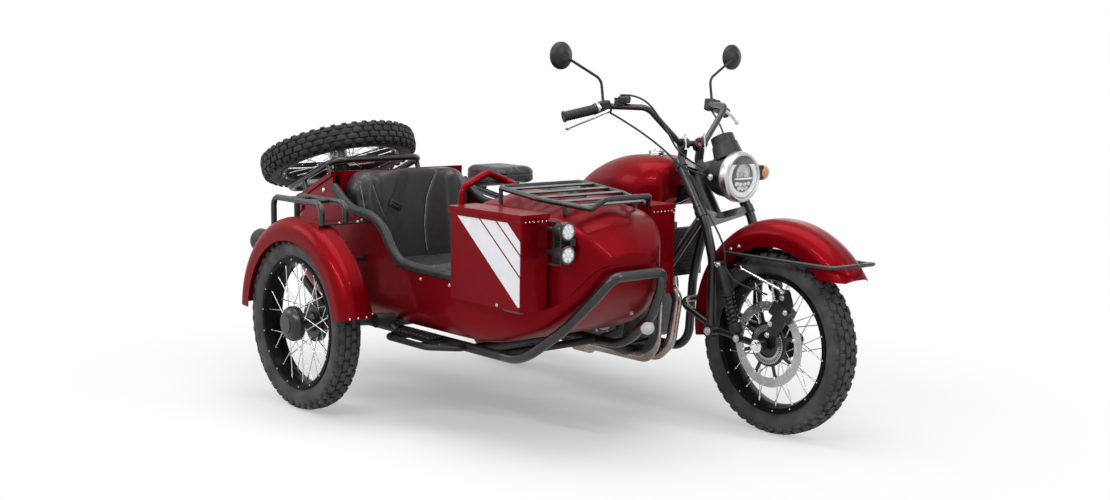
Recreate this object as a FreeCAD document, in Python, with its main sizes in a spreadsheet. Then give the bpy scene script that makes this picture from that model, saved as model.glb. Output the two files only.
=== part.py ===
import FreeCAD, Part
import math
import os
import Sketcher

# Sidecar motorcycle. Lengths in millimetres, +X forward, +Y to the left, +Z up.
# Everything is laid out from the ground point under the rear axle, on the motorcycle's centre plane.
# Each finished sub-part is then carried to the origin below the middle of the whole outfit.

V = FreeCAD.Vector
doc = FreeCAD.newDocument("sidecar_motorcycle")
sheet = doc.addObject("Spreadsheet::Sheet", "sizes")
sub_parts = []
rows_used = []


class Size:
    """A length or angle that keeps the rule it came from, so that objects can be bound to it."""

    def __init__(self, rule, value):
        self.rule = rule
        self.value = float(value)

    def joined(self, sign, other, value, swap=False):
        text = rule_of(other)
        left, right = (text, self.rule) if swap else (self.rule, text)
        return Size(f"({left} {sign} {right})", value)

    def __add__(self, other):
        return self.joined("+", other, self.value + float(other))

    def __radd__(self, other):
        return self.joined("+", other, float(other) + self.value, True)

    def __sub__(self, other):
        return self.joined("-", other, self.value - float(other))

    def __rsub__(self, other):
        return self.joined("-", other, float(other) - self.value, True)

    def __mul__(self, other):
        return self.joined("*", other, self.value * float(other))

    def __rmul__(self, other):
        return self.joined("*", other, float(other) * self.value, True)

    def __truediv__(self, other):
        return self.joined("/", other, self.value / float(other))

    def __neg__(self):
        return Size(f"(-1 * {self.rule})", -self.value)

    def __float__(self):
        return self.value


def rule_of(thing):
    return thing.rule if isinstance(thing, Size) else repr(float(thing))


def size(alias, value, meaning):
    """Write one driving dimension into the sheet and hand it back."""
    rows_used.append(alias)
    row = len(rows_used)
    sheet.set(f"A{row}", meaning)
    sheet.set(f"B{row}", str(value))
    sheet.setAlias(f"B{row}", alias)
    return Size(f"sizes.{alias}", value)


NONE = size("zero_level", 0, "the datum itself")


def bind(thing, **rules):
    for name, rule in rules.items():
        thing.setExpression(name, rule_of(rule))
    return thing


def new_body(name):
    return doc.addObject("PartDesign::Body", name + "_body")


def sketch(body, plane, offset=None):
    """An empty sketch on one of the body's own origin planes, moved along the plane's normal."""
    drawn = body.newObject("Sketcher::SketchObject", "outline")
    support = next(item for item in body.Origin.OriginFeatures if item.Role == plane)
    drawn.AttachmentSupport = (support, [""])
    drawn.MapMode = "FlatFace"
    if offset is not None:
        drawn.setExpression("AttachmentOffset.Base.z", rule_of(offset))
    return drawn


def held(drawn, kind, geometry, vertex, rule):
    index = drawn.addConstraint(Sketcher.Constraint(kind, -1, 1, geometry, vertex, float(rule)))
    drawn.setExpression(f"Constraints[{index}]", rule_of(rule))


def rounded_corner(spot, before, after, radius):
    """The arc of a rounded corner, always drawn anticlockwise, and the vertex where the outline enters it."""
    half = before.getAngle(after) / 2
    enter = spot + before * (radius / math.tan(half))
    leave = spot + after * (radius / math.tan(half))
    centre = spot + (before + after).normalize() * (radius / math.sin(half))
    entering = math.atan2(enter.y - centre.y, enter.x - centre.x)
    leaving = math.atan2(leave.y - centre.y, leave.x - centre.x)
    anticlockwise = (enter - centre).cross(leave - centre).z > 0
    first, last = (entering, leaving) if anticlockwise else (leaving, entering)
    arc = Part.ArcOfCircle(Part.Circle(centre, V(0, 0, 1), radius), first, last)
    return arc, 1 if anticlockwise else 2, enter, leave


def outline(drawn, corners):
    """A closed outline through corners (across, up) or (across, up, radius), each bound to its rules."""
    count = len(corners)
    spots = [V(float(corner[0]), float(corner[1]), 0) for corner in corners]
    enters, leaves, arcs = list(spots), list(spots), [None] * count
    for i, spot in enumerate(spots):
        if len(corners[i]) == 3:
            before = (spots[i - 1] - spot).normalize()
            after = (spots[(i + 1) % count] - spot).normalize()
            arc, vertex, enters[i], leaves[i] = rounded_corner(spot, before, after, float(corners[i][2]))
            arcs[i] = (arc, vertex)
    lines = [drawn.addGeometry(Part.LineSegment(leaves[i], enters[(i + 1) % count])) for i in range(count)]
    for i in range(count):
        arriving, leaving = lines[i - 1], lines[i]
        if arcs[i] is None:
            drawn.addConstraint(Sketcher.Constraint("Coincident", arriving, 2, leaving, 1))
            held(drawn, "DistanceX", leaving, 1, corners[i][0])
            held(drawn, "DistanceY", leaving, 1, corners[i][1])
            continue
        arc, vertex = arcs[i]
        bend = drawn.addGeometry(arc)
        drawn.addConstraint(Sketcher.Constraint("Tangent", arriving, 2, bend, vertex))
        drawn.addConstraint(Sketcher.Constraint("Tangent", leaving, 1, bend, 3 - vertex))
        mark = drawn.addGeometry(Part.Point(spots[i]), True)
        drawn.addConstraint(Sketcher.Constraint("PointOnObject", mark, 1, arriving))
        drawn.addConstraint(Sketcher.Constraint("PointOnObject", mark, 1, leaving))
        held(drawn, "DistanceX", mark, 1, corners[i][0])
        held(drawn, "DistanceY", mark, 1, corners[i][1])
        index = drawn.addConstraint(Sketcher.Constraint("Radius", bend, float(corners[i][2])))
        drawn.setExpression(f"Constraints[{index}]", rule_of(corners[i][2]))
    return drawn


def disc(drawn, across, up, radius):
    index = drawn.addGeometry(Part.Circle(V(float(across), float(up), 0), V(0, 0, 1), float(radius)))
    held(drawn, "DistanceX", index, 3, across)
    held(drawn, "DistanceY", index, 3, up)
    number = drawn.addConstraint(Sketcher.Constraint("Radius", index, float(radius)))
    drawn.setExpression(f"Constraints[{number}]", rule_of(radius))
    return drawn


def pad(body, drawn, length, middle=False, back=False):
    feature = body.newObject("PartDesign::Pad", "pad")
    feature.Profile = drawn
    feature.SideType = "Symmetric" if middle else "One side"
    feature.Reversed = back
    return bind(feature, Length=length)


def pocket(body, drawn, depth, middle=False, back=False):
    feature = body.newObject("PartDesign::Pocket", "pocket")
    feature.Profile = drawn
    feature.SideType = "Symmetric" if middle else "One side"
    feature.Reversed = back
    return bind(feature, Length=depth)


def revolution(body, drawn, axis="H_Axis", angle=360):
    feature = body.newObject("PartDesign::Revolution", "revolution")
    feature.Profile = drawn
    feature.ReferenceAxis = (drawn, [axis])
    return bind(feature, Angle=angle)


def loft(body, drawings, cut=False):
    kind = "PartDesign::SubtractiveLoft" if cut else "PartDesign::AdditiveLoft"
    feature = body.newObject(kind, "loft")
    feature.Profile = drawings[0]
    feature.Sections = drawings[1:]
    return feature


def around(body, feature, drawn, count, axis="H_Axis"):
    pattern = body.newObject("PartDesign::PolarPattern", "around")
    pattern.Originals = [feature]
    pattern.Axis = (drawn, [axis])
    pattern.Angle = 360
    pattern.Occurrences = count
    body.Tip = pattern
    return pattern


def in_line(body, feature, drawn, reach, count, axis):
    pattern = body.newObject("PartDesign::LinearPattern", "in_line")
    pattern.Originals = [feature]
    pattern.Direction = (drawn, [axis])
    pattern.Occurrences = count
    bind(pattern, Length=reach)
    body.Tip = pattern
    return pattern


def soften(body, feature, radius, edges):
    """Round the named edges of a feature."""
    rounded = body.newObject("PartDesign::Fillet", "rounded")
    rounded.Base = (feature, edges)
    return bind(rounded, Radius=radius)


def edges_where(shape, test):
    return [f"Edge{i + 1}" for i, edge in enumerate(shape.Edges) if test(edge)]


def shape_object(name, shape):
    feature = doc.addObject("Part::Feature", name + "_shape")
    feature.Shape = shape
    return feature


def fused(name, objects):
    union = doc.addObject("Part::MultiFuse", name + "_union")
    union.Shapes = objects
    return union


def copied(name, source):
    group = doc.addObject("Part::Compound", name + "_copy")
    group.Links = [source]
    return group


def point(x, y, z):
    return V(float(x), float(y), float(z))


def rod(start, end, radius):
    """A round bar from one point to another."""
    along = end - start
    return Part.makeCylinder(float(radius), along.Length, start, along)


def tube(points, radius, bend):
    """A round bar along straight runs joined by tangent arcs of one bend radius, or one for each corner."""
    bends = bend if isinstance(bend, (list, tuple)) else [bend] * (len(points) - 2)
    edges = []
    last = points[0]
    for i in range(1, len(points) - 1):
        corner = points[i]
        before = (points[i - 1] - corner).normalize()
        after = (points[i + 1] - corner).normalize()
        half = before.getAngle(after) / 2
        turn = float(bends[i - 1])
        reach = turn / math.tan(half)
        enter, leave = corner + before * reach, corner + after * reach
        middle = corner + (before + after).normalize() * (turn / math.sin(half) - turn)
        edges.append(Part.LineSegment(last, enter).toShape())
        edges.append(Part.Arc(enter, middle, leave).toShape())
        last = leave
    edges.append(Part.LineSegment(last, points[-1]).toShape())
    spine = Part.Wire(edges)
    ring = Part.Wire(Part.makeCircle(float(radius), points[0], edges[0].tangentAt(edges[0].FirstParameter)))
    return spine.makePipeShell([ring], True, False)


def union(shapes):
    return shapes[0].fuse(shapes[1:]) if len(shapes) > 1 else shapes[0]


# Driving dimensions
wheelbase = size("wheelbase", 1510, "rear axle to front axle")
tyre_radius = size("tyre_radius", 320, "axle to the tips of the tread")
tyre_width = size("tyre_width", 100, "width over the side walls")
tread_depth = size("tread_depth", 9, "height of the tread blocks")
tread_half = size("tread_half", 30, "half the width of the tread at its full radius")
rim_radius = size("rim_radius", 243, "outer edge of the rim flange")
rim_well_radius = size("rim_well_radius", 216, "underside of the rim's well")
rim_half = size("rim_half", 40, "half the width over the rim flanges")
rim_wall = size("rim_wall", 5, "thickness of the rim")
side_gap = size("side_gap", 1, "room between a rim flange and the tyre")
hub_radius = size("hub_radius", 38, "hub barrel")
hub_flange_radius = size("hub_flange_radius", 62, "hub flange that the spokes hook into")
hub_half = size("hub_half", 52, "half the length of a hub")
hub_flange_half = size("hub_flange_half", 34, "hub middle to spoke flange")
flange_thick = size("flange_thick", 6, "thickness of a spoke flange")
axle_radius = size("axle_radius", 9, "wheel axle")
axle_gap = size("axle_gap", 0.05, "running clearance of an axle in its bore")
spoke_radius = size("spoke_radius", 2, "wire spoke")
SPOKES = 36
spoke_lean = math.radians(42)

sidecar_wheel_x = size("sidecar_wheel_x", 205, "lead of the sidecar wheel")
sidecar_wheel_y = size("sidecar_wheel_y", -1112, "track, rear wheel to sidecar wheel")
sidecar_y = size("sidecar_y", -611, "middle of the sidecar body")

spare_x = size("spare_x", -357, "middle of the spare wheel, behind the rear axle")
spare_z = size("spare_z", 881, "middle of the spare wheel, above the ground")
deck_slope = size("deck_slope", 21.2, "slope of the trunk lid and the spare wheel")

mirror_y = size("mirror_y", 440, "middle of a mirror, from the centre plane")
mirror_radius = size("mirror_radius", 49, "round mirror head")
fender_half = size("fender_half", 67, "half the width of the sidecar fender")
guard_front_x = size("guard_front_x", 1878, "front of the guard")
guard_radius = size("guard_radius", 7, "tube of the front fender's guard")
cap_reach = size("cap_reach", 46, "how far the cap stands out from the spoke flange")

front_reach = guard_front_x + guard_radius
rear_reach = spare_x - tyre_radius * math.cos(math.radians(float(deck_slope)))
rear_reach = rear_reach - tread_half * math.sin(math.radians(float(deck_slope)))
left_reach = mirror_y + mirror_radius
right_reach = sidecar_wheel_y - hub_flange_half - flange_thick / 2 - cap_reach
shift_x = (front_reach + rear_reach) / -2
shift_y = (left_reach + right_reach) / -2


def seat(thing, label, x=NONE, y=NONE, z=NONE, turn=0.0):
    """Label a finished sub-part and carry it to its place; turn is about the axle direction."""
    thing.Label = label
    thing.Placement = FreeCAD.Placement(V(0, 0, 0), FreeCAD.Rotation(V(0, 1, 0), turn))
    bind(thing, **{"Placement.Base.x": x + shift_x, "Placement.Base.y": y + shift_y, "Placement.Base.z": z})
    sub_parts.append(thing)
    return thing


# Wheels
def tyre_form():
    """One tyre about its own axle, with a row of blocks on each shoulder."""
    body = new_body("tyre")
    section = sketch(body, "YZ_Plane")
    half = tyre_width / 2
    base = rim_radius - tread_depth * 1.3
    crown = tyre_radius - tread_depth
    bead = rim_half - rim_wall - side_gap * 0.3
    outline(section, [
        (-bead, base), (-bead, rim_radius + side_gap), (-half * 0.97,
                                                        rim_radius + side_gap * 14), (-half * 0.92,
                                                                                      crown - half * 0.42),
        (-half * 0.66, crown), (half * 0.66, crown), (half * 0.92, crown - half * 0.42),
        (half * 0.97, rim_radius + side_gap * 14), (bead, rim_radius + side_gap), (bead, base)])
    revolution(body, section)
    ribs = sketch(body, "YZ_Plane")
    outline(ribs, [(-tread_half, crown - side_gap), (-tread_half, tyre_radius),
                   (tread_half, tyre_radius), (tread_half, crown - side_gap)])
    revolution(body, ribs)
    return body


def rim_and_hub():
    """A drop-centre rim and a flanged hub, both turned about the axle."""
    body = new_body("rim")
    section = sketch(body, "YZ_Plane")
    seat_radius = rim_radius - tread_depth * 1.4
    well_half = rim_half * 0.35
    outline(section, [
        (-rim_half, rim_radius), (-rim_half, seat_radius - rim_wall), (-well_half, rim_well_radius),
        (well_half, rim_well_radius), (rim_half, seat_radius - rim_wall), (rim_half, rim_radius),
        (rim_half - rim_wall, rim_radius), (rim_half - rim_wall, seat_radius),
        (well_half, rim_well_radius + rim_wall), (-well_half, rim_well_radius + rim_wall),
        (rim_wall - rim_half, seat_radius), (rim_wall - rim_half, rim_radius)])
    revolution(body, section)
    return body


def hub_form():
    body = new_body("hub")
    section = sketch(body, "YZ_Plane")
    bore = axle_radius + axle_gap
    outer, inner = hub_flange_half + flange_thick / 2, hub_flange_half - flange_thick / 2
    outline(section, [
        (-hub_half, bore), (-hub_half, hub_radius * 0.8), (-outer, hub_radius * 0.8), (-outer,
                                                                                       hub_flange_radius),
        (-inner, hub_flange_radius), (-inner, hub_radius), (inner, hub_radius), (inner, hub_flange_radius),
        (outer, hub_flange_radius), (outer, hub_radius * 0.8), (hub_half, hub_radius * 0.8), (hub_half,
                                                                                              bore)])
    revolution(body, section)
    return body


def spoke_set():
    """Crossed wire spokes, from the hub's flanges to the rim's well."""
    bars = []
    hook = float(hub_flange_radius - flange_thick)
    well = float(rim_well_radius + rim_wall / 2)
    for i in range(SPOKES):
        at_rim = 2 * math.pi * (i + 0.5) / SPOKES
        at_hub = at_rim + spoke_lean * (1 if i // 2 % 2 else -1)
        side = 1 if i % 2 else -1
        start = V(hook * math.cos(at_hub), side * float(hub_flange_half), hook * math.sin(at_hub))
        end = V(well * math.cos(at_rim), side * float(rim_half) * 0.2, well * math.sin(at_rim))
        bars.append(rod(start, end, spoke_radius))
    return bars


tyre_body = tyre_form()
rim_body = rim_and_hub()
hub_body = hub_form()
doc.recompute()
wire_wheel = shape_object("wire_wheel", union([rim_body.Shape, hub_body.Shape] + spoke_set()))


def place_wheels():
    """Four tyres of one form and four wire wheels of one form, each moved to its own axle."""
    fork_disc = brake_disc("fork_disc")
    rear_sprocket = sprocket()
    cap = hub_cap()
    doc.recompute()
    slope = float(deck_slope)
    places = [
        ("front", (wheelbase, NONE, tyre_radius), 0, [fork_disc]),
        ("rear", (NONE, NONE, tyre_radius), 0, [rear_sprocket]),
        ("sidecar", (sidecar_wheel_x, sidecar_wheel_y, tyre_radius), 0, [cap]),
        ("spare", (spare_x, sidecar_y, spare_z), -slope, []),
    ]
    for name, (x, y, z), turn, extras in places:
        axis_turn = FreeCAD.Rotation(V(0, 1, 0), 0)
        tyre = copied(name + "_tyre", tyre_body)
        wheel = fused(name + "_wheel", [wire_wheel] + extras) if extras else copied(name + "_wheel",
                                                                                    wire_wheel)
        doc.recompute()
        seat(tyre, name + "_tyre", x, y, z)
        seat(wheel, name + "_wheel", x, y, z)
        if name == "spare":
            for part in (tyre, wheel):
                axis_turn = FreeCAD.Rotation(V(0, 1, 0), -slope).multiply(FreeCAD.Rotation(V(1, 0, 0), 90))
                part.Placement = FreeCAD.Placement(part.Placement.Base, axis_turn)


disc_radius = size("disc_radius", 150, "brake disc")
disc_band = size("disc_band", 34, "width of the disc's braking band")
disc_thick = size("disc_thick", 5, "thickness of the disc")
disc_hole_radius = size("disc_hole_radius", 5, "holes in the braking band")
sprocket_radius = size("sprocket_radius", 98, "rear sprocket over its teeth")
cap_radius = size("cap_radius", 64, "domed cap over the sidecar hub")


def brake_disc(name):
    """A drilled disc on the right-hand end of the hub, with six arms to the hub."""
    body = new_body(name)
    face = sketch(body, "XZ_Plane", hub_half - disc_thick)
    disc(face, NONE, NONE, disc_radius)
    plate = pad(body, face, disc_thick)
    hole = sketch(body, "XZ_Plane", hub_half - disc_thick)
    disc(hole, NONE, disc_radius - disc_band * 0.6, disc_hole_radius)
    drilled = pocket(body, hole, disc_thick * 2, middle=True)
    around(body, drilled, hole, 18, "N_Axis")
    gap = sketch(body, "XZ_Plane", hub_half - disc_thick)
    inner, outer = hub_flange_radius + disc_hole_radius, disc_radius - disc_band
    outline(gap, [(-inner * 0.36, inner, disc_hole_radius), (-outer * 0.43, outer * 0.9, disc_hole_radius),
                  (outer * 0.43, outer * 0.9, disc_hole_radius), (inner * 0.36, inner, disc_hole_radius)])
    window = pocket(body, gap, disc_thick * 2, middle=True)
    around(body, window, gap, 6, "N_Axis")
    bore = sketch(body, "XZ_Plane", hub_half - disc_thick)
    disc(bore, NONE, NONE, hub_radius * 0.7)
    pocket(body, bore, disc_thick * 2, middle=True)
    return body


def sprocket():
    """Rear sprocket on the left-hand side, with lightening holes."""
    body = new_body("sprocket")
    face = sketch(body, "XZ_Plane", -hub_half)
    disc(face, NONE, NONE, sprocket_radius)
    pad(body, face, disc_thick)
    hole = sketch(body, "XZ_Plane", -hub_half)
    disc(hole, NONE, sprocket_radius * 0.74, disc_hole_radius * 2.4)
    cut = pocket(body, hole, disc_thick * 3, middle=True)
    around(body, cut, hole, 8, "N_Axis")
    bore = sketch(body, "XZ_Plane", -hub_half)
    disc(bore, NONE, NONE, hub_radius * 0.7)
    pocket(body, bore, disc_thick * 3, middle=True)
    return body


def hub_cap():
    """Domed cap that closes the outer end of the sidecar hub."""
    body = new_body("hub_cap")
    section = sketch(body, "YZ_Plane")
    start = -hub_flange_half - flange_thick / 2
    bore = axle_radius + axle_gap
    outline(section, [(start, bore), (start, cap_radius), (start - cap_reach * 0.35, cap_radius,
                                                           cap_radius * 0.12),
                      (start - cap_reach, cap_radius * 0.55, cap_radius * 0.2), (start - cap_reach, NONE),
                      (start - cap_reach * 0.75, NONE), (start - cap_reach * 0.75, bore)])
    revolution(body, section)
    return body


place_wheels()

# Steering head and fork
leg_y = size("leg_y", 120, "fork leg from the centre plane")
leg_radius = size("leg_radius", 17, "fork leg tube")
leg_top_x = size("leg_top_x", 1120, "top of a fork leg, ahead of the rear axle")
leg_top_z = size("leg_top_z", 941, "top of a fork leg")
knee_high_x = size("knee_high_x", 1262, "upper bend of a fork leg")
knee_high_z = size("knee_high_z", 727, "upper bend of a fork leg, height")
knee_low_x = size("knee_low_x", 1303, "lower bend of a fork leg")
knee_low_z = size("knee_low_z", 598, "lower bend of a fork leg, height")
link_pivot_z = size("link_pivot_z", 345, "pivot of the leading link")
leg_bend = size("leg_bend", 120, "bend radius of a fork leg")
rake = size("rake", 33.5, "steering axis, from the vertical")
head_x = size("head_x", 1084.5, "steering axis at the upper clamp")
head_z = size("head_z", 890.5, "steering axis at the upper clamp, height")
clamp_spacing = size("clamp_spacing", 202, "upper clamp to lower clamp along the steering axis")
clamp_thick = size("clamp_thick", 26, "thickness of a fork clamp")
clamp_reach = size("clamp_reach", 57, "steering axis to the plane of the legs")
stem_radius = size("stem_radius", 14, "steering stem")
head_tube_radius = size("head_tube_radius", 31, "steering head tube")
running_gap = size("running_gap", 0.3, "gap between pieces that seat on each other")
edge_tolerance = size("edge_tolerance", 0.01, "how close an edge must lie to count as level or upright")
edge_margin = size("edge_margin", 1, "margin by which edges are told apart")
turning_gap = size("turning_gap", 6, "room between pieces that turn past each other")

axis_down = V(math.sin(math.radians(float(rake))), 0, -math.cos(math.radians(float(rake))))
axis_ahead = V(-axis_down.z, 0, axis_down.x)
head_point = point(head_x, NONE, head_z)


def clamp_plate(name, centre):
    """A flat fork clamp square to the steering axis, rounded where it grips the legs."""
    half_thick = float(clamp_thick) / 2
    grip = float(leg_radius + flange_thick)
    forward = float(clamp_reach)
    start = centre - axis_down * -half_thick
    lumps = []
    for ahead, side, radius in ((0, 0, float(head_tube_radius)), (forward, float(leg_y), grip),
                                (forward, -float(leg_y), grip)):
        spot = start + axis_ahead * ahead + V(0, side, 0)
        lumps.append(Part.makeCylinder(radius, 2 * half_thick, spot, axis_down * -1))
    rim = float(head_tube_radius)
    corners = [axis_ahead * -rim * 0.6 + V(0, -rim * 0.8, 0),
               axis_ahead * (forward - grip * 0.7) + V(0, -float(leg_y), 0),
               axis_ahead * (forward + grip * 0.7) + V(0, -float(leg_y), 0), axis_ahead * rim + V(0,
                                                                                                  -rim * 0.5, 0),
               axis_ahead * rim + V(0, rim * 0.5, 0), axis_ahead * (forward + grip * 0.7) + V(0,
                                                                                              float(leg_y), 0),
               axis_ahead * (forward - grip * 0.7) + V(0, float(leg_y),
                                                       0), axis_ahead * -rim * 0.6 + V(0, rim * 0.8, 0)]
    corners = [start + corner for corner in corners]
    web = Part.Face(Part.makePolygon(corners + corners[:1])).extrude(axis_down * (-2 * half_thick))
    return union(lumps + [web])


def fork_leg(side):
    y = leg_y * side
    path = [point(leg_top_x, y, leg_top_z), point(knee_high_x, y, knee_high_z),
            point(knee_low_x, y, knee_low_z),
            point(knee_low_x, y, link_pivot_z)]
    return tube(path, leg_radius, leg_bend)


def fork():
    """Two bent legs, two clamps and the stem, welded into one."""
    lower = head_point + axis_down * float(clamp_spacing)
    stem = Part.makeCylinder(float(stem_radius), float(clamp_spacing), head_point, axis_down)
    legs = [fork_leg(side) for side in (1, -1)]
    feet = []
    for side in (1, -1):
        eye = point(knee_low_x, leg_y * side, link_pivot_z)
        feet.append(rod(eye - V(0, float(leg_radius), 0), eye + V(0, float(leg_radius), 0),
                        leg_radius * 1.35))
    whole = union(legs + feet + [clamp_plate("upper", head_point), clamp_plate("lower", lower), stem])
    return seat(shape_object("fork", whole), "fork_legs")


link_radius = size("link_radius", 12, "leading link tube")
link_rear_x = size("link_rear_x", 1108, "cross tube of the leading link, behind the tyre")
link_rear_z = size("link_rear_z", 424, "height of that cross tube")
link_bend = size("link_bend", 62, "bend radius of the leading link")
nut_radius = size("nut_radius", 19, "axle nut")


def leading_link():
    """The loop behind the wheel with its two arms, the axle and its nuts."""
    pivot, rear, end = [], [], []
    inner = leg_y - leg_radius - link_radius - running_gap
    for side in (-1, 1):
        end.append(point(wheelbase, inner * side, tyre_radius))
        pivot.append(point(knee_low_x, inner * side, link_pivot_z))
        rear.append(point(link_rear_x, inner * side, link_rear_z))
    loop = tube([end[0], pivot[0], rear[0], rear[1], pivot[1], end[1]], link_radius,
                [link_bend * 2, link_bend, link_bend, link_bend * 2])
    spin = union([rod(point(wheelbase, -leg_y, tyre_radius), point(wheelbase, leg_y, tyre_radius),
                      axle_radius)])
    parts = [loop, spin]
    for side in (-1, 1):
        near = point(wheelbase, (inner - link_radius * 1.2) * side, tyre_radius)
        far = point(wheelbase, (inner + link_radius * 1.6) * side, tyre_radius)
        parts.append(rod(near, far, nut_radius))
    whole = union(parts)
    return seat(shape_object("leading_link", whole), "leading_link")


shock_top_x = size("shock_top_x", 1345, "upper eye of a front shock")
shock_top_z = size("shock_top_z", 585, "upper eye of a front shock, height")
shock_foot_x = size("shock_foot_x", 1440, "lower eye of a front shock")
shock_radius = size("shock_radius", 26, "outer sleeve of a front shock")
rear_shock_radius = size("rear_shock_radius", 27, "coil of a rear shock")


def turned(start, end, steps):
    """A solid turned about the line from start to end; steps are (share of the way, radius)."""
    along = end - start
    profile = [V(0, 0, 0)] + [V(float(radius), 0, share * along.Length) for share, radius in steps]
    profile.append(V(0, 0, along.Length * steps[-1][0]))
    profile[0] = V(0, 0, along.Length * steps[0][0])
    face = Part.Face(Part.makePolygon(profile + profile[:1]))
    solid = face.revolve(V(0, 0, 0), V(0, 0, 1), 360)
    solid.Placement = FreeCAD.Placement(start, FreeCAD.Rotation(V(0, 0, 1), along))
    return solid


def front_shocks():
    """Two shocks, each with a sleeve, a ribbed gaiter and a cup, and an eye at both ends."""
    parts = []
    r = shock_radius
    ribs = [(0.44 + 0.03 * i, r * (0.92 if i % 2 else 0.72)) for i in range(12)]
    steps = [(0.0, r * 0.4), (0.04, r * 0.4), (0.05, r), (0.42, r), (0.43, r * 0.72)] + ribs
    steps += [(0.8, r * 0.9), (0.92, r * 0.9), (0.93, r * 0.4), (1.0, r * 0.4)]
    inner = leg_y - leg_radius - link_radius - running_gap
    for side in (-1, 1):
        y = (leg_y + running_gap * 20) * side
        top = point(shock_top_x, y, shock_top_z)
        low = point(shock_foot_x, y, link_pivot_z - nut_radius * 0.3)
        body = turned(top, low, steps)
        pin = rod(point(shock_foot_x, (inner + link_radius + running_gap) * side, low.z), low, axle_radius)
        lug = rod(top, point(knee_low_x + leg_radius + running_gap, y, shock_top_z), axle_radius)
        eye = rod(low - V(0, float(axle_radius), 0), low + V(0, float(axle_radius), 0), nut_radius * 0.8)
        parts.append(union([body, pin, lug, eye]))
    return seat(shape_object("front_shocks", Part.makeCompound(parts)), "front_shocks")


fork()
leading_link()
front_shocks()

# Fenders
fender_wall = size("fender_wall", 3, "sheet of the fenders")
front_fender_radius = size("front_fender_radius", 388, "outside of the front fender")
front_fender_half = size("front_fender_half", 77, "half the width of the front fender")
front_fender_x = size("front_fender_x", 1534, "middle of the front fender's arc")
front_fender_z = size("front_fender_z", 367, "middle of the front fender's arc, height")
front_skirt = size("front_skirt", 92, "depth of the front fender's skirts")
front_fender_low = size("front_fender_low", 190, "rear end of the front fender's arc, from ahead")
front_fender_sweep = size("front_fender_sweep", 156, "angle that the front fender covers")
front_fender_end_z = size("front_fender_end_z", 574, "level cut of the front fender's front end")
side_fender_radius = size("side_fender_radius", 389, "outside of the sidecar fender")
side_skirt = size("side_skirt", 84, "depth of the sidecar fender's skirts")
side_fender_low = size("side_fender_low", 176, "rear end of the sidecar fender's arc, from ahead")
side_fender_sweep = size("side_fender_sweep", 166, "angle that the sidecar fender covers")
rear_fender_radius = size("rear_fender_radius", 356, "outside of the rear fender")
rear_fender_half = size("rear_fender_half", 72, "half the width of the rear fender")
rear_fender_low = size("rear_fender_low", 178, "rear end of the rear fender's arc, from ahead")
rear_fender_sweep = size("rear_fender_sweep", 124, "angle that the rear fender covers")


def fender_arc(name, radius, half, skirt, sweep, crown_share):
    """A rounded channel swept about the axle's direction."""
    body = new_body(name)
    section = sketch(body, "YZ_Plane")
    curve = half * crown_share
    inside = half - fender_wall
    outline(section, [
        (-half, radius - skirt), (-half, radius, curve), (half, radius, curve), (half, radius - skirt),
        (inside, radius - skirt), (inside, radius - fender_wall, curve - fender_wall),
        (-inside, radius - fender_wall, curve - fender_wall), (-inside, radius - skirt)])
    revolution(body, section, "H_Axis", sweep)
    return body


def start_turn(low):
    """Turn about the axle that lays an arc's start at the given angle from straight ahead."""
    return 90 - float(low)


def front_fender():
    """Deep fender, its front end cut level."""
    arc = fender_arc("front_arc", front_fender_radius, front_fender_half, front_skirt,
                     front_fender_sweep, 0.8)
    doc.recompute()
    whole = arc.Shape.copy()
    whole.rotate(V(0, 0, 0), V(0, 1, 0), start_turn(front_fender_low))
    reach, half = float(front_fender_radius), float(front_fender_half) * 1.5
    level = float(front_fender_end_z - front_fender_z)
    below = Part.makeBox(reach, half * 2, reach, V(reach * 0.4, -half, level - reach))
    return seat(shape_object("front_fender", whole.cut(below)), "front_fender", front_fender_x, NONE,
                front_fender_z)


guard_y = size("guard_y", 92, "side run of the guard, from the centre plane")
guard_rear_x = size("guard_rear_x", 1330, "rear end of the guard")
guard_z = size("guard_z", 624, "side run of the guard, height")
guard_front_z = size("guard_front_z", 636, "front of the guard, height")
guard_bend = size("guard_bend", 55, "bend radius of the guard")


def fender_guard():
    """A thin tube round the nose of the fender, with two stays to its skirts."""
    rear_x = guard_rear_x
    shoulder_x = guard_front_x - front_fender_half * 0.9
    path = [point(rear_x, -guard_y, guard_z), point(shoulder_x, -guard_y, guard_z),
            point(guard_front_x, -guard_y * 0.5, guard_front_z), point(guard_front_x, guard_y * 0.5,
                                                                       guard_front_z),
            point(shoulder_x, guard_y, guard_z), point(rear_x, guard_y, guard_z)]
    parts = [tube(path, guard_radius, guard_bend)]
    for side in (-1, 1):
        for x in (rear_x + guard_bend, shoulder_x - guard_bend):
            skin = point(x, (front_fender_half + running_gap) * side, guard_z)
            parts.append(rod(skin, point(x, guard_y * side, guard_z), guard_radius * 0.7))
    return seat(shape_object("fender_guard", union(parts)), "fender_guard")


lamp_x = size("lamp_x", 1317, "front of the headlamp")
lamp_z = size("lamp_z", 883, "middle of the headlamp")
lamp_radius = size("lamp_radius", 86, "headlamp over its ring")
lamp_depth = size("lamp_depth", 152, "headlamp shell, front to back")
lens_bulge = size("lens_bulge", 14, "how far the lens stands out")
gauge_x = size("gauge_x", 1218, "middle of the gauge")
gauge_z = size("gauge_z", 1020, "middle of the gauge, height")
gauge_radius = size("gauge_radius", 42, "round gauge")
gauge_depth = size("gauge_depth", 84, "gauge housing")
gauge_tilt = size("gauge_tilt", 27, "gauge face, leaning back from level")
signal_radius = size("signal_radius", 27, "round turn signal")
signal_y = size("signal_y", 178, "turn signal from the centre plane")
signal_z = size("signal_z", 888, "turn signal, height")
signal_x = size("signal_x", 1252, "turn signal, ahead of the rear axle")


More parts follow.
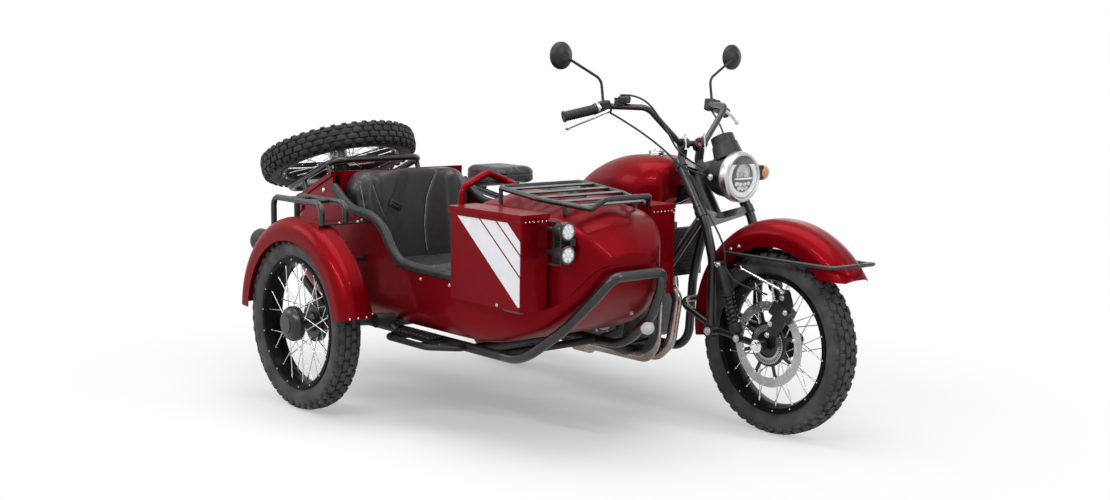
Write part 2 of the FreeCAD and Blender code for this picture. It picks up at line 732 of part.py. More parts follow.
def headlamp():
    """Bowl with its ring, the gauge above it, the turn signal of the free side and a mounting boss on the other."""
    body = new_body("lamp_bowl")
    section = sketch(body, "XZ_Plane")
    outline(section, [
        (NONE, NONE), (NONE, lamp_radius * 0.86), (lens_bulge * 0.5, lamp_radius * 0.94), (NONE,
                                                                                           lamp_radius),
        (-lens_bulge * 2, lamp_radius), (-lens_bulge * 2.2, lamp_radius * 0.95),
        (-lamp_depth * 0.64, lamp_radius * 0.84, lamp_radius * 0.6), (-lamp_depth,
                                                                      lamp_radius * 0.42), (-lamp_depth,
                                                                                            NONE)])
    revolution(body, section)
    gauge = new_body("gauge")
    cup = sketch(gauge, "XZ_Plane")
    outline(cup, [(NONE, NONE), (gauge_radius * 1.3, NONE), (gauge_radius * 1.12, gauge_depth * 0.62),
                  (gauge_radius * 1.02, gauge_depth * 0.66),
                  (gauge_radius, gauge_depth), (gauge_radius * 0.88, gauge_depth), (gauge_radius * 0.84,
                                                                                    gauge_depth * 0.93), (NONE, gauge_depth * 0.93)])
    revolution(gauge, cup, "V_Axis")
    tilt = math.radians(float(gauge_tilt))
    low = point(gauge_x - lamp_x, NONE, gauge_z - lamp_z)
    low = low - V(-math.sin(tilt), 0, math.cos(tilt)) * float(gauge_depth)
    gauge.Placement = FreeCAD.Placement(low, FreeCAD.Rotation(V(0, 1, 0), -float(gauge_tilt)))
    doc.recompute()
    bar = rod(low - V(0, 0, float(gauge_depth) * 0.6), low + V(0, 0, float(lens_bulge) * 0.2),
              gauge_radius * 0.3)
    ears = []
    leg_at_lamp = point(knee_high_x - lamp_x, NONE, NONE)
    root = V(leg_at_lamp.x * 1.1, 0, 0)
    stalk_end = point(signal_x - lamp_x, signal_y - signal_radius * 0.6, signal_z - lamp_z)
    ears.append(rod(root, stalk_end, signal_radius * 0.28))
    front = stalk_end + V(float(signal_radius) * 0.7, 0, 0)
    ears.append(turned(stalk_end - V(float(signal_radius), 0, 0), front,
                       [(0.0, signal_radius * 0.5), (0.4, signal_radius), (0.9, signal_radius),
                        (1.0, signal_radius * 0.7)]))
    ears.append(rod(root, V(root.x, -float(lamp_radius) * 1.08, 0), signal_radius * 0.45))
    extras = shape_object("lamp_extras", union([bar] + ears))
    whole = fused("headlamp", [body, gauge, extras])
    return seat(whole, "headlamp", lamp_x, NONE, lamp_z)


bar_radius = size("bar_radius", 11, "handlebar tube")
grip_radius = size("grip_radius", 17, "rubber grip")
grip_length = size("grip_length", 128, "rubber grip, end to end")
grip_end_x = size("grip_end_x", 838, "end of a grip, ahead of the rear axle")
grip_end_y = size("grip_end_y", 420, "end of a grip, from the centre plane")
grip_end_z = size("grip_end_z", 1083, "end of a grip, height")
bar_elbow_x = size("bar_elbow_x", 902, "inner end of the grip's straight run")
bar_elbow_y = size("bar_elbow_y", 262, "inner end of that run, from the centre plane")
bar_elbow_z = size("bar_elbow_z", 1121, "inner end of that run, height")
bar_high_x = size("bar_high_x", 1044, "top of the bar's rise")
bar_high_y = size("bar_high_y", 202, "top of the bar's rise, from the centre plane")
bar_high_z = size("bar_high_z", 1120, "top of the bar's rise, height")
bar_low_x = size("bar_low_x", 1072, "bar in its clamps")
bar_low_y = size("bar_low_y", 62, "end of the bar's straight middle")
bar_low_z = size("bar_low_z", 988, "bar in its clamps, height")
bar_bend = size("bar_bend", 42, "bend radius of the handlebar")
mirror_x = size("mirror_x", 848, "middle of a mirror, ahead of the rear axle")
mirror_z = size("mirror_z", 1300, "middle of a mirror, height")
mirror_depth = size("mirror_depth", 20, "mirror shell")
stalk_radius = size("stalk_radius", 5, "stalk of a mirror")


def bar_path():
    right = [point(grip_end_x, -grip_end_y, grip_end_z), point(bar_elbow_x, -bar_elbow_y, bar_elbow_z),
             point(bar_high_x, -bar_high_y, bar_high_z), point(bar_low_x, -bar_low_y, bar_low_z)]
    left = [V(p.x, -p.y, p.z) for p in reversed(right)]
    return right + left


def handlebar():
    """Bar, risers, grips, control pods and the two levers."""
    path = bar_path()
    parts = [tube(path, bar_radius, bar_bend)]
    for side in (-1, 1):
        base = point(head_x, bar_low_y * 0.72 * side,
                     head_z) - axis_down * (float(clamp_thick) / 2 + float(running_gap))
        riser = [base, base - axis_down * float(clamp_thick),
                 point(bar_low_x, bar_low_y * 0.72 * side, bar_low_z)]
        parts.append(tube(riser, bar_radius * 1.5, bar_radius * 1.8))
        parts.append(rod(point(bar_low_x, bar_low_y * 0.45 * side, bar_low_z),
                         point(bar_low_x, bar_low_y * side, bar_low_z), bar_radius * 1.7))
        end = point(grip_end_x, grip_end_y * side, grip_end_z)
        elbow = point(bar_elbow_x, bar_elbow_y * side, bar_elbow_z)
        along = (elbow - end).normalize()
        grip_stop = end + along * float(grip_length)
        parts.append(turned(end, grip_stop, [(0.0, grip_radius * 0.8), (0.03, grip_radius),
                                             (0.9, grip_radius),
                                             (0.93, grip_radius * 1.25), (1.0, grip_radius * 1.25)]))
        pod = float(grip_length) * 0.36
        parts.append(rod(grip_stop, grip_stop + along * pod, grip_radius * 1.2))
        root = grip_stop + along * pod * 0.6
        ahead = V(-along.y, along.x, 0).normalize()
        ahead = ahead if ahead.x > 0 else ahead * -1
        hinge = root + ahead * float(grip_radius) * 2.2 - V(0, 0, float(bar_radius))
        parts.append(rod(root, hinge, bar_radius * 0.75))
    elbow, high = path[1], path[2]
    pot = elbow + (high - elbow) * 0.3 + V(0, 0, float(bar_radius) * 0.6)
    parts.append(rod(pot, pot + V(0, 0, float(grip_radius) * 1.5), grip_radius * 1.25))
    return seat(shape_object("handlebar", union(parts)), "handlebar")


def hand_levers():
    """Two bent lever blades with round ends, each just ahead of its perch and lower than its grip."""
    blades = []
    for side in (-1, 1):
        end = point(grip_end_x, grip_end_y * side, grip_end_z)
        elbow = point(bar_elbow_x, bar_elbow_y * side, bar_elbow_z)
        along = (elbow - end).normalize()
        ahead = V(-along.y, along.x, 0).normalize()
        ahead = ahead if ahead.x > 0 else ahead * -1
        root = end + along * float(grip_length) * (1 + 0.36 * 0.6)
        blade = float(bar_radius) * 0.55
        start = root + ahead * (float(grip_radius) * 2.2 + blade + float(running_gap)) - V(0, 0,
                                                                                           float(bar_radius))
        knee = start + (end - root) * 0.4 + ahead * float(bar_radius) - V(0, 0, float(bar_radius))
        tip = end + ahead * float(grip_radius) * 2.8 - V(0, 0, float(grip_radius) * 2.2)
        start = start + along * blade
        blades.append(union([tube([start, knee, tip], blade, bar_bend), Part.makeSphere(blade * 1.4, tip)]))
    return seat(shape_object("hand_levers", Part.makeCompound(blades)), "hand_levers")


def mirrors():
    """Two round mirrors on bent stalks."""
    parts = []
    for side in (-1, 1):
        end = point(grip_end_x, grip_end_y * side, grip_end_z)
        elbow = point(bar_elbow_x, bar_elbow_y * side, bar_elbow_z)
        root = elbow + (end - elbow) * 0.12 + V(0, 0, float(grip_radius))
        root = root + V(0, 0, float(grip_radius) * 0.26 + float(running_gap))
        middle = point(mirror_x, mirror_y * side, mirror_z)
        rise = V(root.x - float(mirror_radius) * 0.25, root.y, root.z + float(mirror_radius) * 1.6)
        back = middle + V(float(mirror_depth) * 0.6, 0, 0)
        parts.append(union([tube([root, rise, back], stalk_radius, mirror_radius * 0.8),
                            turned(middle + V(float(mirror_depth), 0, 0),
                                   middle - V(float(mirror_depth) * 0.4, 0, 0),
                                   [(0.0, mirror_radius * 0.35), (0.4, mirror_radius * 0.85),
                                    (0.7, mirror_radius),
                                    (1.0, mirror_radius)])]))
    return seat(shape_object("mirrors", Part.makeCompound(parts)), "mirrors")


caliper_gap = size("caliper_gap", 2, "brake pads to the disc")
torque_rod_y = size("torque_rod_y", -92, "rear end of the brake's torque rod, from the centre plane")
caliper_half = size("caliper_half", 27, "disc to the outer face of the caliper")
caliper_inner = size("caliper_inner", 15, "disc to the inner face of the caliper")
caliper_lean = size("caliper_lean", 62, "place of the caliper round the axle, from straight ahead")


cable_radius = size("cable_radius", 3.5, "control cable")
cable_bend = size("cable_bend", 26, "bend radius of the control cables")
cable_reach = size("cable_reach", 1000, "length that the cables' routes are given in shares of")
throttle_shares = ((0.912, -0.262, 1.098), (0.99, -0.228, 1.056), (1.088, -0.166, 0.978),
                   (1.18, -0.15, 0.905), (1.232, -0.094, 0.888))
switch_shares = ((0.95, -0.247, 1.162), (1.05, -0.236, 1.17), (1.112, -0.182, 1.06),
                 (1.168, -0.158, 0.95), (1.222, -0.1, 0.914))
clutch_shares = ((0.912, 0.262, 1.098), (0.99, 0.228, 1.056), (1.088, 0.166, 0.978),
                 (1.18, 0.15, 0.905), (1.232, 0.094, 0.888))
hose_shares = ((1.286, -0.13, 0.757), (1.388, -0.148, 0.664), (1.386, -0.15, 0.586),
               (1.42, -0.134, 0.536), (1.478, -0.096, 0.51), (1.53, -0.086, 0.5))


def control_cables():
    """Held cables from the controls to the headlamp, and the hose down to the front brake."""
    cables = []
    for route_shares in (throttle_shares, switch_shares, clutch_shares, hose_shares):
        corners = [point(cable_reach * x, cable_reach * y, cable_reach * z) for x, y, z in route_shares]
        cables.append(tube(corners, cable_radius, cable_bend))
    return seat(shape_object("control_cables", Part.makeCompound(cables)), "control_cables")


def front_brake():
    """Caliper astride the disc, its carrier plate on the axle and the torque rod to the fork leg."""
    y = hub_half - disc_thick / 2
    middle = point(wheelbase, -y, tyre_radius)
    lean = math.radians(float(caliper_lean))
    out = V(math.cos(lean), 0, math.sin(lean))
    along = V(-out.z, 0, out.x)
    reach = float(disc_radius) - float(disc_band) / 2
    half_long, half_deep = float(disc_band) * 1.15, float(disc_band) * 0.85
    corners = [middle + out * (reach + up) + along * side for up, side in (
        (-half_deep * 0.7, -half_long), (half_deep, -half_long), (half_deep * 1.2, 0),
        (half_deep, half_long), (-half_deep * 0.7, half_long))]
    face = Part.Face(Part.makePolygon([c + V(0, float(caliper_inner), 0) for c in corners + corners[:1]]))
    block = face.extrude(V(0, -float(caliper_inner + caliper_half), 0))
    slot = float(disc_radius) + float(turning_gap) / 2
    half_slot = float(disc_thick) / 2 + float(caliper_gap)
    block = block.cut(Part.makeCylinder(slot, 2 * half_slot, middle - V(0, half_slot, 0), V(0, 1, 0)))
    start = V(middle.x, -float(hub_half + turning_gap), middle.z)
    hub_eye = rod(V(middle.x, start.y, middle.z), V(middle.x, start.y - float(disc_thick), middle.z),
                  nut_radius * 1.3)
    beside = V(0, float(hub_half), 0)
    hub_eye = hub_eye.cut(rod(start + beside, start - beside, axle_radius + running_gap))
    arm = [middle + out * up + along * side for up, side in (
        (float(nut_radius), -float(nut_radius)), (reach, -half_long), (reach + half_deep * 2,
                                                                       -half_long * 0.7),
        (reach + half_deep * 3, half_long * 0.1), (reach + half_deep * 3, half_long * 0.5),
        (reach + half_deep, half_long * 0.8), (float(nut_radius), float(nut_radius)))]
    arm = [V(p.x, start.y, p.z) for p in arm]
    plate = Part.Face(Part.makePolygon(arm + arm[:1])).extrude(V(0, -float(disc_thick), 0))
    ear = middle + out * (reach + half_deep * 2.7) + along * half_long * 0.3
    ear = V(ear.x, start.y - float(disc_thick), ear.z)
    torque_start = ear + V(0, float(disc_thick) / 2, 0)
    torque_end = point(shock_top_x + shock_radius * 1.4, torque_rod_y, shock_top_z)
    boss = rod(torque_start, ear - V(0, float(disc_thick), 0), nut_radius * 0.6)
    torque_rod = rod(ear, torque_end, stalk_radius)
    whole = union([block, hub_eye, plate, boss, torque_rod])
    return seat(shape_object("front_brake", whole), "front_brake")


for make in (front_fender, fender_guard, headlamp, handlebar, hand_levers, mirrors, control_cables,
             front_brake):
    make()

# Motorcycle frame
frame_radius = size("frame_radius", 17, "frame tube")
cradle_y = size("cradle_y", 92, "cradle tube from the centre plane")
cradle_z = size("cradle_z", 205, "bottom run of the cradle")
cradle_front_x = size("cradle_front_x", 985, "front of the cradle")
cradle_rear_x = size("cradle_rear_x", 395, "rear of the cradle")
backbone_z = size("backbone_z", 712, "backbone under the tank")
seat_rail_z = size("seat_rail_z", 676, "seat rail, height at the saddle")
seat_rail_y = size("seat_rail_y", 104, "seat rail from the centre plane")
tail_rail_x = size("tail_rail_x", -175, "rear end of the seat rails")
tail_rail_z = size("tail_rail_z", 752, "rear end of the seat rails, height")
swing_pivot_x = size("swing_pivot_x", 455, "pivot of the swinging arm")
swing_pivot_z = size("swing_pivot_z", 350, "pivot of the swinging arm, height")
frame_bend = size("frame_bend", 90, "bend radius of the frame tubes")


def backbone_path():
    """Middle of the backbone, from the steering head to above the swinging arm."""
    high_head = head_point + axis_down * (float(clamp_spacing) * 0.32)
    return [high_head, point(head_x - frame_bend * 2, NONE, backbone_z + frame_radius * 2),
            point(swing_pivot_x + frame_bend, NONE, backbone_z)]


def motorcycle_frame():
    """Backbone, two cradle tubes, seat rails with their struts, and the steering head."""
    bore = stem_radius + axle_gap
    clear = clamp_thick / 2 + running_gap
    top = head_point + axis_down * float(clear)
    length = float(clamp_spacing - clear * 2)
    head_tube = Part.makeCylinder(float(head_tube_radius), length, top, axis_down)
    low_head = head_point + axis_down * (float(clamp_spacing) * 0.72)
    parts = [head_tube]
    parts.append(tube(backbone_path(), frame_radius * 1.4, frame_bend * 2))
    for side in (-1, 1):
        y = cradle_y * side
        cradle = [low_head, point(cradle_front_x + frame_radius, y, cradle_z + frame_bend * 3),
                  point(cradle_front_x, y, cradle_z),
                  point(cradle_rear_x, y, cradle_z), point(cradle_rear_x - frame_radius, y,
                                                           backbone_z - frame_radius)]
        parts.append(tube(cradle, frame_radius, frame_bend))
        rail_y = seat_rail_y * side
        rail = [point(head_x - frame_bend * 3, frame_radius * 1.4 * side, backbone_z),
                point(swing_pivot_x + frame_bend, rail_y, seat_rail_z),
                point(cradle_rear_x - frame_bend * 2, rail_y, seat_rail_z + frame_radius),
                point(tail_rail_x, rail_y, tail_rail_z)]
        parts.append(tube(rail, frame_radius * 0.8, frame_bend))
        parts.append(rod(point(cradle_rear_x - frame_radius, y, swing_pivot_z + frame_bend),
                         point(NONE + frame_bend, rail_y,
                               seat_rail_z + frame_bend * 0.35), frame_radius * 0.7))
        pivot = point(swing_pivot_x - arm_radius * 2, (cradle_y - frame_radius) * side, swing_pivot_z)
        boss = point(swing_pivot_x - arm_radius * 2, (cradle_y + frame_radius) * side, swing_pivot_z)
        parts.append(rod(pivot, boss, frame_radius))
        parts.append(rod(point(cradle_rear_x - frame_radius * 0.6, y, swing_pivot_z),
                         point(swing_pivot_x - arm_radius * 2, y, swing_pivot_z), frame_radius * 0.8))
    for x, z, reach in ((swing_pivot_x + frame_bend, seat_rail_z, seat_rail_y),
                        (tail_rail_x + frame_radius, tail_rail_z - side_gap, seat_rail_y),
                        (cradle_rear_x + frame_bend * 1.85, cradle_z,
                         cradle_y), (cradle_front_x - frame_bend * 2, cradle_z, cradle_y),
                        (cradle_rear_x - frame_radius * 0.8, backbone_z - frame_bend, cradle_y)):
        parts.append(rod(point(x, -reach, z), point(x, reach, z), frame_radius * 0.8))
    high_tie = [point(swing_pivot_x + frame_bend, NONE, backbone_z),
                point(cradle_rear_x - frame_radius * 0.8, NONE, backbone_z - frame_bend)]
    parts.append(rod(high_tie[0], high_tie[1], frame_radius))
    whole = union(parts)
    whole = whole.cut(Part.makeCylinder(float(bore), length * 1.2, top - axis_down * (length * 0.1),
                                        axis_down))
    return seat(shape_object("motorcycle_frame", whole), "motorcycle_frame")


case_front_x = size("case_front_x", 905, "front of the crankcase")
case_rear_x = size("case_rear_x", 470, "rear of the crankcase")
case_low_z = size("case_low_z", 226, "underside of the crankcase")
case_high_z = size("case_high_z", 452, "top of the crankcase")
case_half = size("case_half", 128, "half the width of the crankcase")
cover_radius = size("cover_radius", 92, "round engine cover")
cover_reach = size("cover_reach", 34, "how far an engine cover stands out")
barrel_front_x = size("barrel_front_x", 880, "front of the cylinder block")
barrel_rear_x = size("barrel_rear_x", 690, "rear of the cylinder block")
barrel_top_z = size("barrel_top_z", 676, "top of the valve cover")
barrel_half = size("barrel_half", 112, "half the width of the cylinder block")
fin_reach = size("fin_reach", 16, "how far a cooling fin stands out")
fin_thick = size("fin_thick", 6, "thickness of a cooling fin")
FINS = 6


def engine():
    """Upright twin: crankcase with round covers, finned cylinder block and valve cover."""
    case = new_body("crankcase")
    side = sketch(case, "XZ_Plane")
    outline(side, [
        (case_rear_x, case_low_z + frame_radius * 3, frame_radius * 2), (case_rear_x,
                                                                         case_high_z - frame_radius, frame_radius * 2),
        (barrel_rear_x - frame_radius, case_high_z + frame_radius), (case_front_x - frame_radius,
                                                                     case_high_z + frame_radius, frame_radius),
        (case_front_x, case_low_z + cover_radius,
         cover_radius * 0.7), (case_front_x - cover_radius * 0.8, case_low_z, frame_radius * 2),
        (case_rear_x + cover_radius, case_low_z, frame_radius)])
    pad(case, side, case_half * 2, middle=True)
    for offset, back in ((case_half, False), (-case_half, True)):
        for x, share in ((case_front_x - cover_radius * 1.35, 1.0),
                         (case_rear_x + cover_radius * 1.35, 0.72)):
            cover = sketch(case, "XZ_Plane", offset)
            disc(cover, x, case_low_z + cover_radius * 1.25, cover_radius * share)
            pad(case, cover, cover_reach, back=back)
    block = sketch(case, "XY_Plane", case_high_z)
    outline(block, [(barrel_rear_x, -barrel_half), (barrel_rear_x, barrel_half),
                    (barrel_front_x, barrel_half), (barrel_front_x, -barrel_half)])
    pad(case, block, barrel_top_z - case_high_z)
    fin = sketch(case, "XY_Plane", case_high_z + fin_reach * 2)
    outline(fin, [(barrel_rear_x - fin_reach, -barrel_half - fin_reach, fin_reach),
                  (barrel_rear_x - fin_reach, barrel_half + fin_reach, fin_reach),
                  (barrel_front_x + fin_reach, barrel_half + fin_reach,
                   fin_reach), (barrel_front_x + fin_reach, -barrel_half - fin_reach, fin_reach)])
    first = pad(case, fin, fin_thick)
    in_line(case, first, fin, (barrel_top_z - case_high_z) * 0.5, FINS, "N_Axis")
    head = sketch(case, "XY_Plane", barrel_top_z - fin_reach * 3)
    outline(head, [(barrel_rear_x - fin_reach, -barrel_half - fin_thick, fin_reach),
                   (barrel_rear_x - fin_reach, barrel_half + fin_thick, fin_reach),
                   (barrel_front_x + fin_reach, barrel_half + fin_thick,
                    fin_reach), (barrel_front_x + fin_reach, -barrel_half - fin_thick, fin_reach)])
    pad(case, head, fin_reach * 3)
    return seat(case, "engine")


radiator_x = size("radiator_x", 978, "front of the radiator")
radiator_thick = size("radiator_thick", 34, "radiator, front to back")
radiator_low_z = size("radiator_low_z", 486, "underside of the radiator")
radiator_high_z = size("radiator_high_z", 664, "top of the radiator")
radiator_half = size("radiator_half", 166, "half the width of the radiator")
louvre_pitch = size("louvre_pitch", 13, "louvre to louvre")
louvre_depth = size("louvre_depth", 5, "depth of the slots between louvres")
LOUVRES = 12


def radiator():
    """Radiator with a louvred face and rounded end tanks."""
    core = new_body("radiator")
    plan = sketch(core, "XY_Plane", radiator_low_z)
    rear = radiator_x - radiator_thick
    outline(plan, [(rear, -radiator_half, louvre_pitch), (rear, radiator_half, louvre_pitch),
                   (radiator_x, radiator_half, louvre_pitch),
                   (radiator_x, -radiator_half, louvre_pitch)])
    pad(core, plan, radiator_high_z - radiator_low_z)
    slot = sketch(core, "YZ_Plane", radiator_x)
    low = radiator_low_z + louvre_pitch
    across = radiator_half - louvre_pitch * 1.6
    outline(slot, [(-across, low), (-across, low + louvre_pitch * 0.6),
                   (across, low + louvre_pitch * 0.6), (across, low)])
    first = pocket(core, slot, louvre_depth)
    in_line(core, first, slot, louvre_pitch * (LOUVRES - 1), LOUVRES, "V_Axis")
    return seat(core, "radiator")


pipe_radius = size("pipe_radius", 20, "exhaust header")
pipe_y = size("pipe_y", 58, "header from the centre plane")
pipe_low_z = size("pipe_low_z", 166, "headers under the engine")
pipe_front_x = size("pipe_front_x", 964, "front of the headers")
silencer_radius = size("silencer_radius", 50, "silencer")
silencer_y = size("silencer_y", 208, "silencer from the centre plane")
silencer_front_x = size("silencer_front_x", 255, "front of the silencer")
silencer_rear_x = size("silencer_rear_x", -290, "rear of the silencer")
silencer_z = size("silencer_z", 300, "front of the silencer, height")
silencer_rise = size("silencer_rise", 60, "how much the silencer rises")


def exhaust():
    """Two headers round the front of the engine and under the radiator, one silencer on the left-hand side."""
    port_z = barrel_top_z - fin_reach * 5 - pipe_radius
    down_x = barrel_front_x + fin_reach + pipe_radius * 1.35
    parts = []
    mix_x = cradle_rear_x + pipe_radius * 6
    for side in (-1, 1):
        start = point(barrel_front_x + fin_reach + running_gap, pipe_y * side, port_z)
        path = [start, point(down_x, pipe_y * side, port_z), point(down_x, pipe_y * 0.95 * side,
                                                                   radiator_low_z - pipe_radius * 2.2),
                point(pipe_front_x, pipe_y * 0.9 * side, radiator_low_z - pipe_radius * 4.4),
                point(pipe_front_x - pipe_radius, pipe_y * 0.7 * side, cradle_z + pipe_radius),
                point(cradle_front_x - pipe_radius * 5, pipe_y * 0.5 * side, pipe_low_z), point(mix_x,
                                                                                                pipe_y * 0.5 * side, pipe_low_z)]
        bends = [pipe_radius * share for share in (1.15, 2.2, 2.2, 4, 3)]
        parts.append(tube(path, pipe_radius, bends))
        parts.append(rod(start, start + V(float(flange_thick), 0, 0), pipe_radius * 1.4))
    parts.append(rod(point(mix_x + pipe_radius, NONE, pipe_low_z),
                     point(mix_x - pipe_radius * 3, NONE, pipe_low_z), pipe_radius * 2.2))
    front = point(silencer_front_x, silencer_y, silencer_z)
    rear = point(silencer_rear_x, silencer_y, silencer_z + silencer_rise)
    back = (rear - front).normalize()
    link = [point(mix_x - pipe_radius * 2, NONE, pipe_low_z),
            point(cradle_rear_x - frame_radius * 2, silencer_y * 0.4, pipe_low_z),
            point(silencer_front_x + pipe_radius * 2, silencer_y,
                  silencer_z - pipe_radius), front + back * float(pipe_radius)]
    parts.append(tube(link, pipe_radius, [pipe_radius * 2, pipe_radius]))
    can_shares = ((0.0, 0.5), (0.08, 0.97), (0.1, 1.0), (0.9, 1.0), (0.93, 0.9), (1.0, 0.6))
    can = turned(front, rear, [(along, silencer_radius * share) for along, share in can_shares])
    mouth = rear - back * float(silencer_radius * 0.6)
    parts.append(can.cut(rod(mouth, rear + back * float(pipe_radius), silencer_radius * 0.45)))
    return seat(shape_object("exhaust", union(parts)), "exhaust")


tank_rear_x = size("tank_rear_x", 506, "rear of the fuel tank")
tank_front_x = size("tank_front_x", 1031, "front of the fuel tank")
tank_low_z = size("tank_low_z", 748, "underside of the fuel tank")
tank_top_z = size("tank_top_z", 938, "top of the fuel tank")
tank_half = size("tank_half", 150, "half the width of the fuel tank")
cap_x = size("cap_x", 892, "middle of the filler cap")
filler_radius = size("filler_radius", 34, "filler cap")
filler_height = size("filler_height", 12, "filler cap, height")
# Each station of the tank: share of the length, of the half width, of the height up to the top and from the foot.
tank_shares = ((0.0, 0.30, 0.34, 0.06), (0.1, 0.52, 0.52, 0.0), (0.28, 0.72, 0.76, 0.0),
               (0.56, 0.98, 0.97, 0.0),
               (0.78, 1.0, 1.0, 0.0), (0.93, 0.84, 0.93, 0.06), (1.0, 0.5, 0.74, 0.22))


def fuel_tank():
    """Teardrop tank lofted through rounded stations, with its filler cap."""
    body = new_body("fuel_tank")
    stations = []
    length, height = tank_front_x - tank_rear_x, tank_top_z - tank_low_z
    for along, wide, high, low in tank_shares:
        drawn = sketch(body, "YZ_Plane", tank_rear_x + length * along)
        half = tank_half * wide
        foot, top = tank_low_z + height * low, tank_low_z + height * high
        small, big = min(wide * 0.16, (high - low) * 0.3), min(wide * 0.62, (high - low) * 0.62)
        outline(drawn, [(-half, foot, height * small * 0.6), (-half, top, height * big),
                        (half, top, height * big), (half, foot, height * small * 0.6)])
        stations.append(drawn)
    loft(body, stations)
    neck = sketch(body, "XY_Plane", tank_top_z - filler_height)
    disc(neck, cap_x, NONE, filler_radius)
    pad(body, neck, filler_height * 2)
    clear = float(frame_radius) * 1.4 + float(turning_gap)
    over = [p + V(0, 0, clear * 1.1) for p in backbone_path()]
    over[0] = over[0] + (over[0] - over[1])
    over.append(over[-1] - V(float(frame_bend) * 2, 0, 0))
    ring = over + [V(over[-1].x, 0, float(cradle_z)), V(over[0].x, 0, float(cradle_z))]
    face = Part.Face(Part.makePolygon([p - V(0, clear, 0) for p in ring + ring[:1]]))
    tunnel = doc.addObject("Part::Cut", "tank_tunnel")
    tunnel.Base, tunnel.Tool = body, shape_object("tank_space", face.extrude(V(0, 2 * clear, 0)))
    return seat(tunnel, "fuel_tank")


saddle_front_x = size("saddle_front_x", 500, "front of the rider's saddle")
saddle_rear_x = size("saddle_rear_x", 212, "rear of the rider's saddle")
saddle_top_z = size("saddle_top_z", 775, "top of the rider's saddle")
saddle_half = size("saddle_half", 122, "half the width of the rider's saddle")
pillion_front_x = size("pillion_front_x", 72, "front of the passenger's saddle")
pillion_rear_x = size("pillion_rear_x", -190, "rear of the passenger's saddle")
pillion_top_z = size("pillion_top_z", 830, "top of the passenger's saddle")
pillion_half = size("pillion_half", 108, "half the width of the passenger's saddle")
saddle_soft = size("saddle_soft", 24, "rounding of the saddles")


def cushion(label, front, rear, low, top, half):
    """A soft block with rounded corners in plan and a softened top edge."""
    body = new_body(label)
    plan = sketch(body, "XY_Plane", low)
    outline(plan, [(rear, -half, saddle_soft * 2), (rear, half, saddle_soft * 2),
                   (front, half, saddle_soft * 2), (front, -half, saddle_soft * 2)])
    block = pad(body, plan, top - low)
    doc.recompute()
    level = float(top)
    upper = edges_where(block.Shape, lambda edge: all(abs(v.Z - level) < float(edge_tolerance) for v in edge.Vertexes))
    soften(body, block, saddle_soft, upper)
    return seat(body, label)


def saddles():
    cushion("rider_saddle", saddle_front_x, saddle_rear_x, seat_rail_z + frame_radius * 1.85,
            saddle_top_z, saddle_half)
    cushion("pillion_seat", pillion_front_x, pillion_rear_x, tail_rail_z + frame_radius, pillion_top_z,
            pillion_half)


def rear_fender():
    arc = fender_arc("rear_fender", rear_fender_radius, rear_fender_half, fender_half * 0.8,
                     rear_fender_sweep, 0.7)
    return seat(arc, "rear_fender", NONE, NONE, tyre_radius, start_turn(rear_fender_low))


arm_y = size("arm_y", 88, "swinging arm from the centre plane")
arm_radius = size("arm_radius", 17, "swinging arm tube")
coil_y = size("coil_y", 143, "rear shock from the centre plane")
coil_low_x = size("coil_low_x", 42, "lower eye of a rear shock")
coil_high_x = size("coil_high_x", 118, "upper eye of a rear shock")
coil_high_z = size("coil_high_z", 700, "upper eye of a rear shock, height")


def rear_suspension():
    """Swinging arm with the rear axle, and a coil-over shock on each side."""
    parts = []
    r = rear_shock_radius
    coils = [(0.26 + 0.033 * i, r if i % 2 else r * 0.78) for i in range(18)]
    steps = [(0.0, r * 0.5), (0.08, r * 0.5), (0.1, r * 0.62), (0.24, r * 0.62),
             (0.25, r)] + coils + [(0.86, r), (0.9, r * 0.7), (1.0, r * 0.5)]
    pivot_x = swing_pivot_x - arm_radius * 2
    pivot_half = cradle_y - frame_radius - running_gap
    for side in (-1, 1):
        y = arm_y * side
        parts.append(tube([point(NONE, y, tyre_radius), point(swing_pivot_x * 0.55, y,
                                                              tyre_radius + arm_radius),
                           point(pivot_x, pivot_half * 0.53 * side,
                                 swing_pivot_z)], arm_radius, frame_bend * 2))
        parts.append(rod(point(NONE, (arm_y - arm_radius * 1.2) * side, tyre_radius),
                         point(NONE, (arm_y + arm_radius * 1.3) * side, tyre_radius), nut_radius * 1.2))
        low = point(coil_low_x, coil_y * side, tyre_radius + arm_radius * 2.4)
        high = point(coil_high_x, coil_y * side, coil_high_z)
        parts.append(turned(low, high, steps))
        parts.append(rod(V(low.x, float(y), float(tyre_radius)), V(low.x, float(y), low.z),
                         axle_radius * 1.3))
        parts.append(rod(V(low.x, float(y), low.z), low, axle_radius * 1.3))
        parts.append(rod(high, point(coil_high_x, (seat_rail_y + frame_radius) * side, coil_high_z),
                         axle_radius))
    parts.append(rod(point(pivot_x, -pivot_half, swing_pivot_z),
                     point(pivot_x, pivot_half, swing_pivot_z), arm_radius))
    parts.append(rod(point(NONE, -arm_y, tyre_radius), point(NONE, arm_y, tyre_radius), axle_radius))
    return seat(shape_object("rear_suspension", union(parts)), "rear_suspension")


cover_front_x = size("cover_front_x", 520, "front of a side cover")
cover_rear_x = size("cover_rear_x", 262, "rear of a side cover")
cover_low_z = size("cover_low_z", 462, "underside of a side cover")
cover_top_z = size("cover_top_z", 668, "top of a side cover")
cover_y = size("cover_y", 128, "inner face of a side cover, from the centre plane")
cover_thick = size("cover_thick", 22, "depth of a side cover")


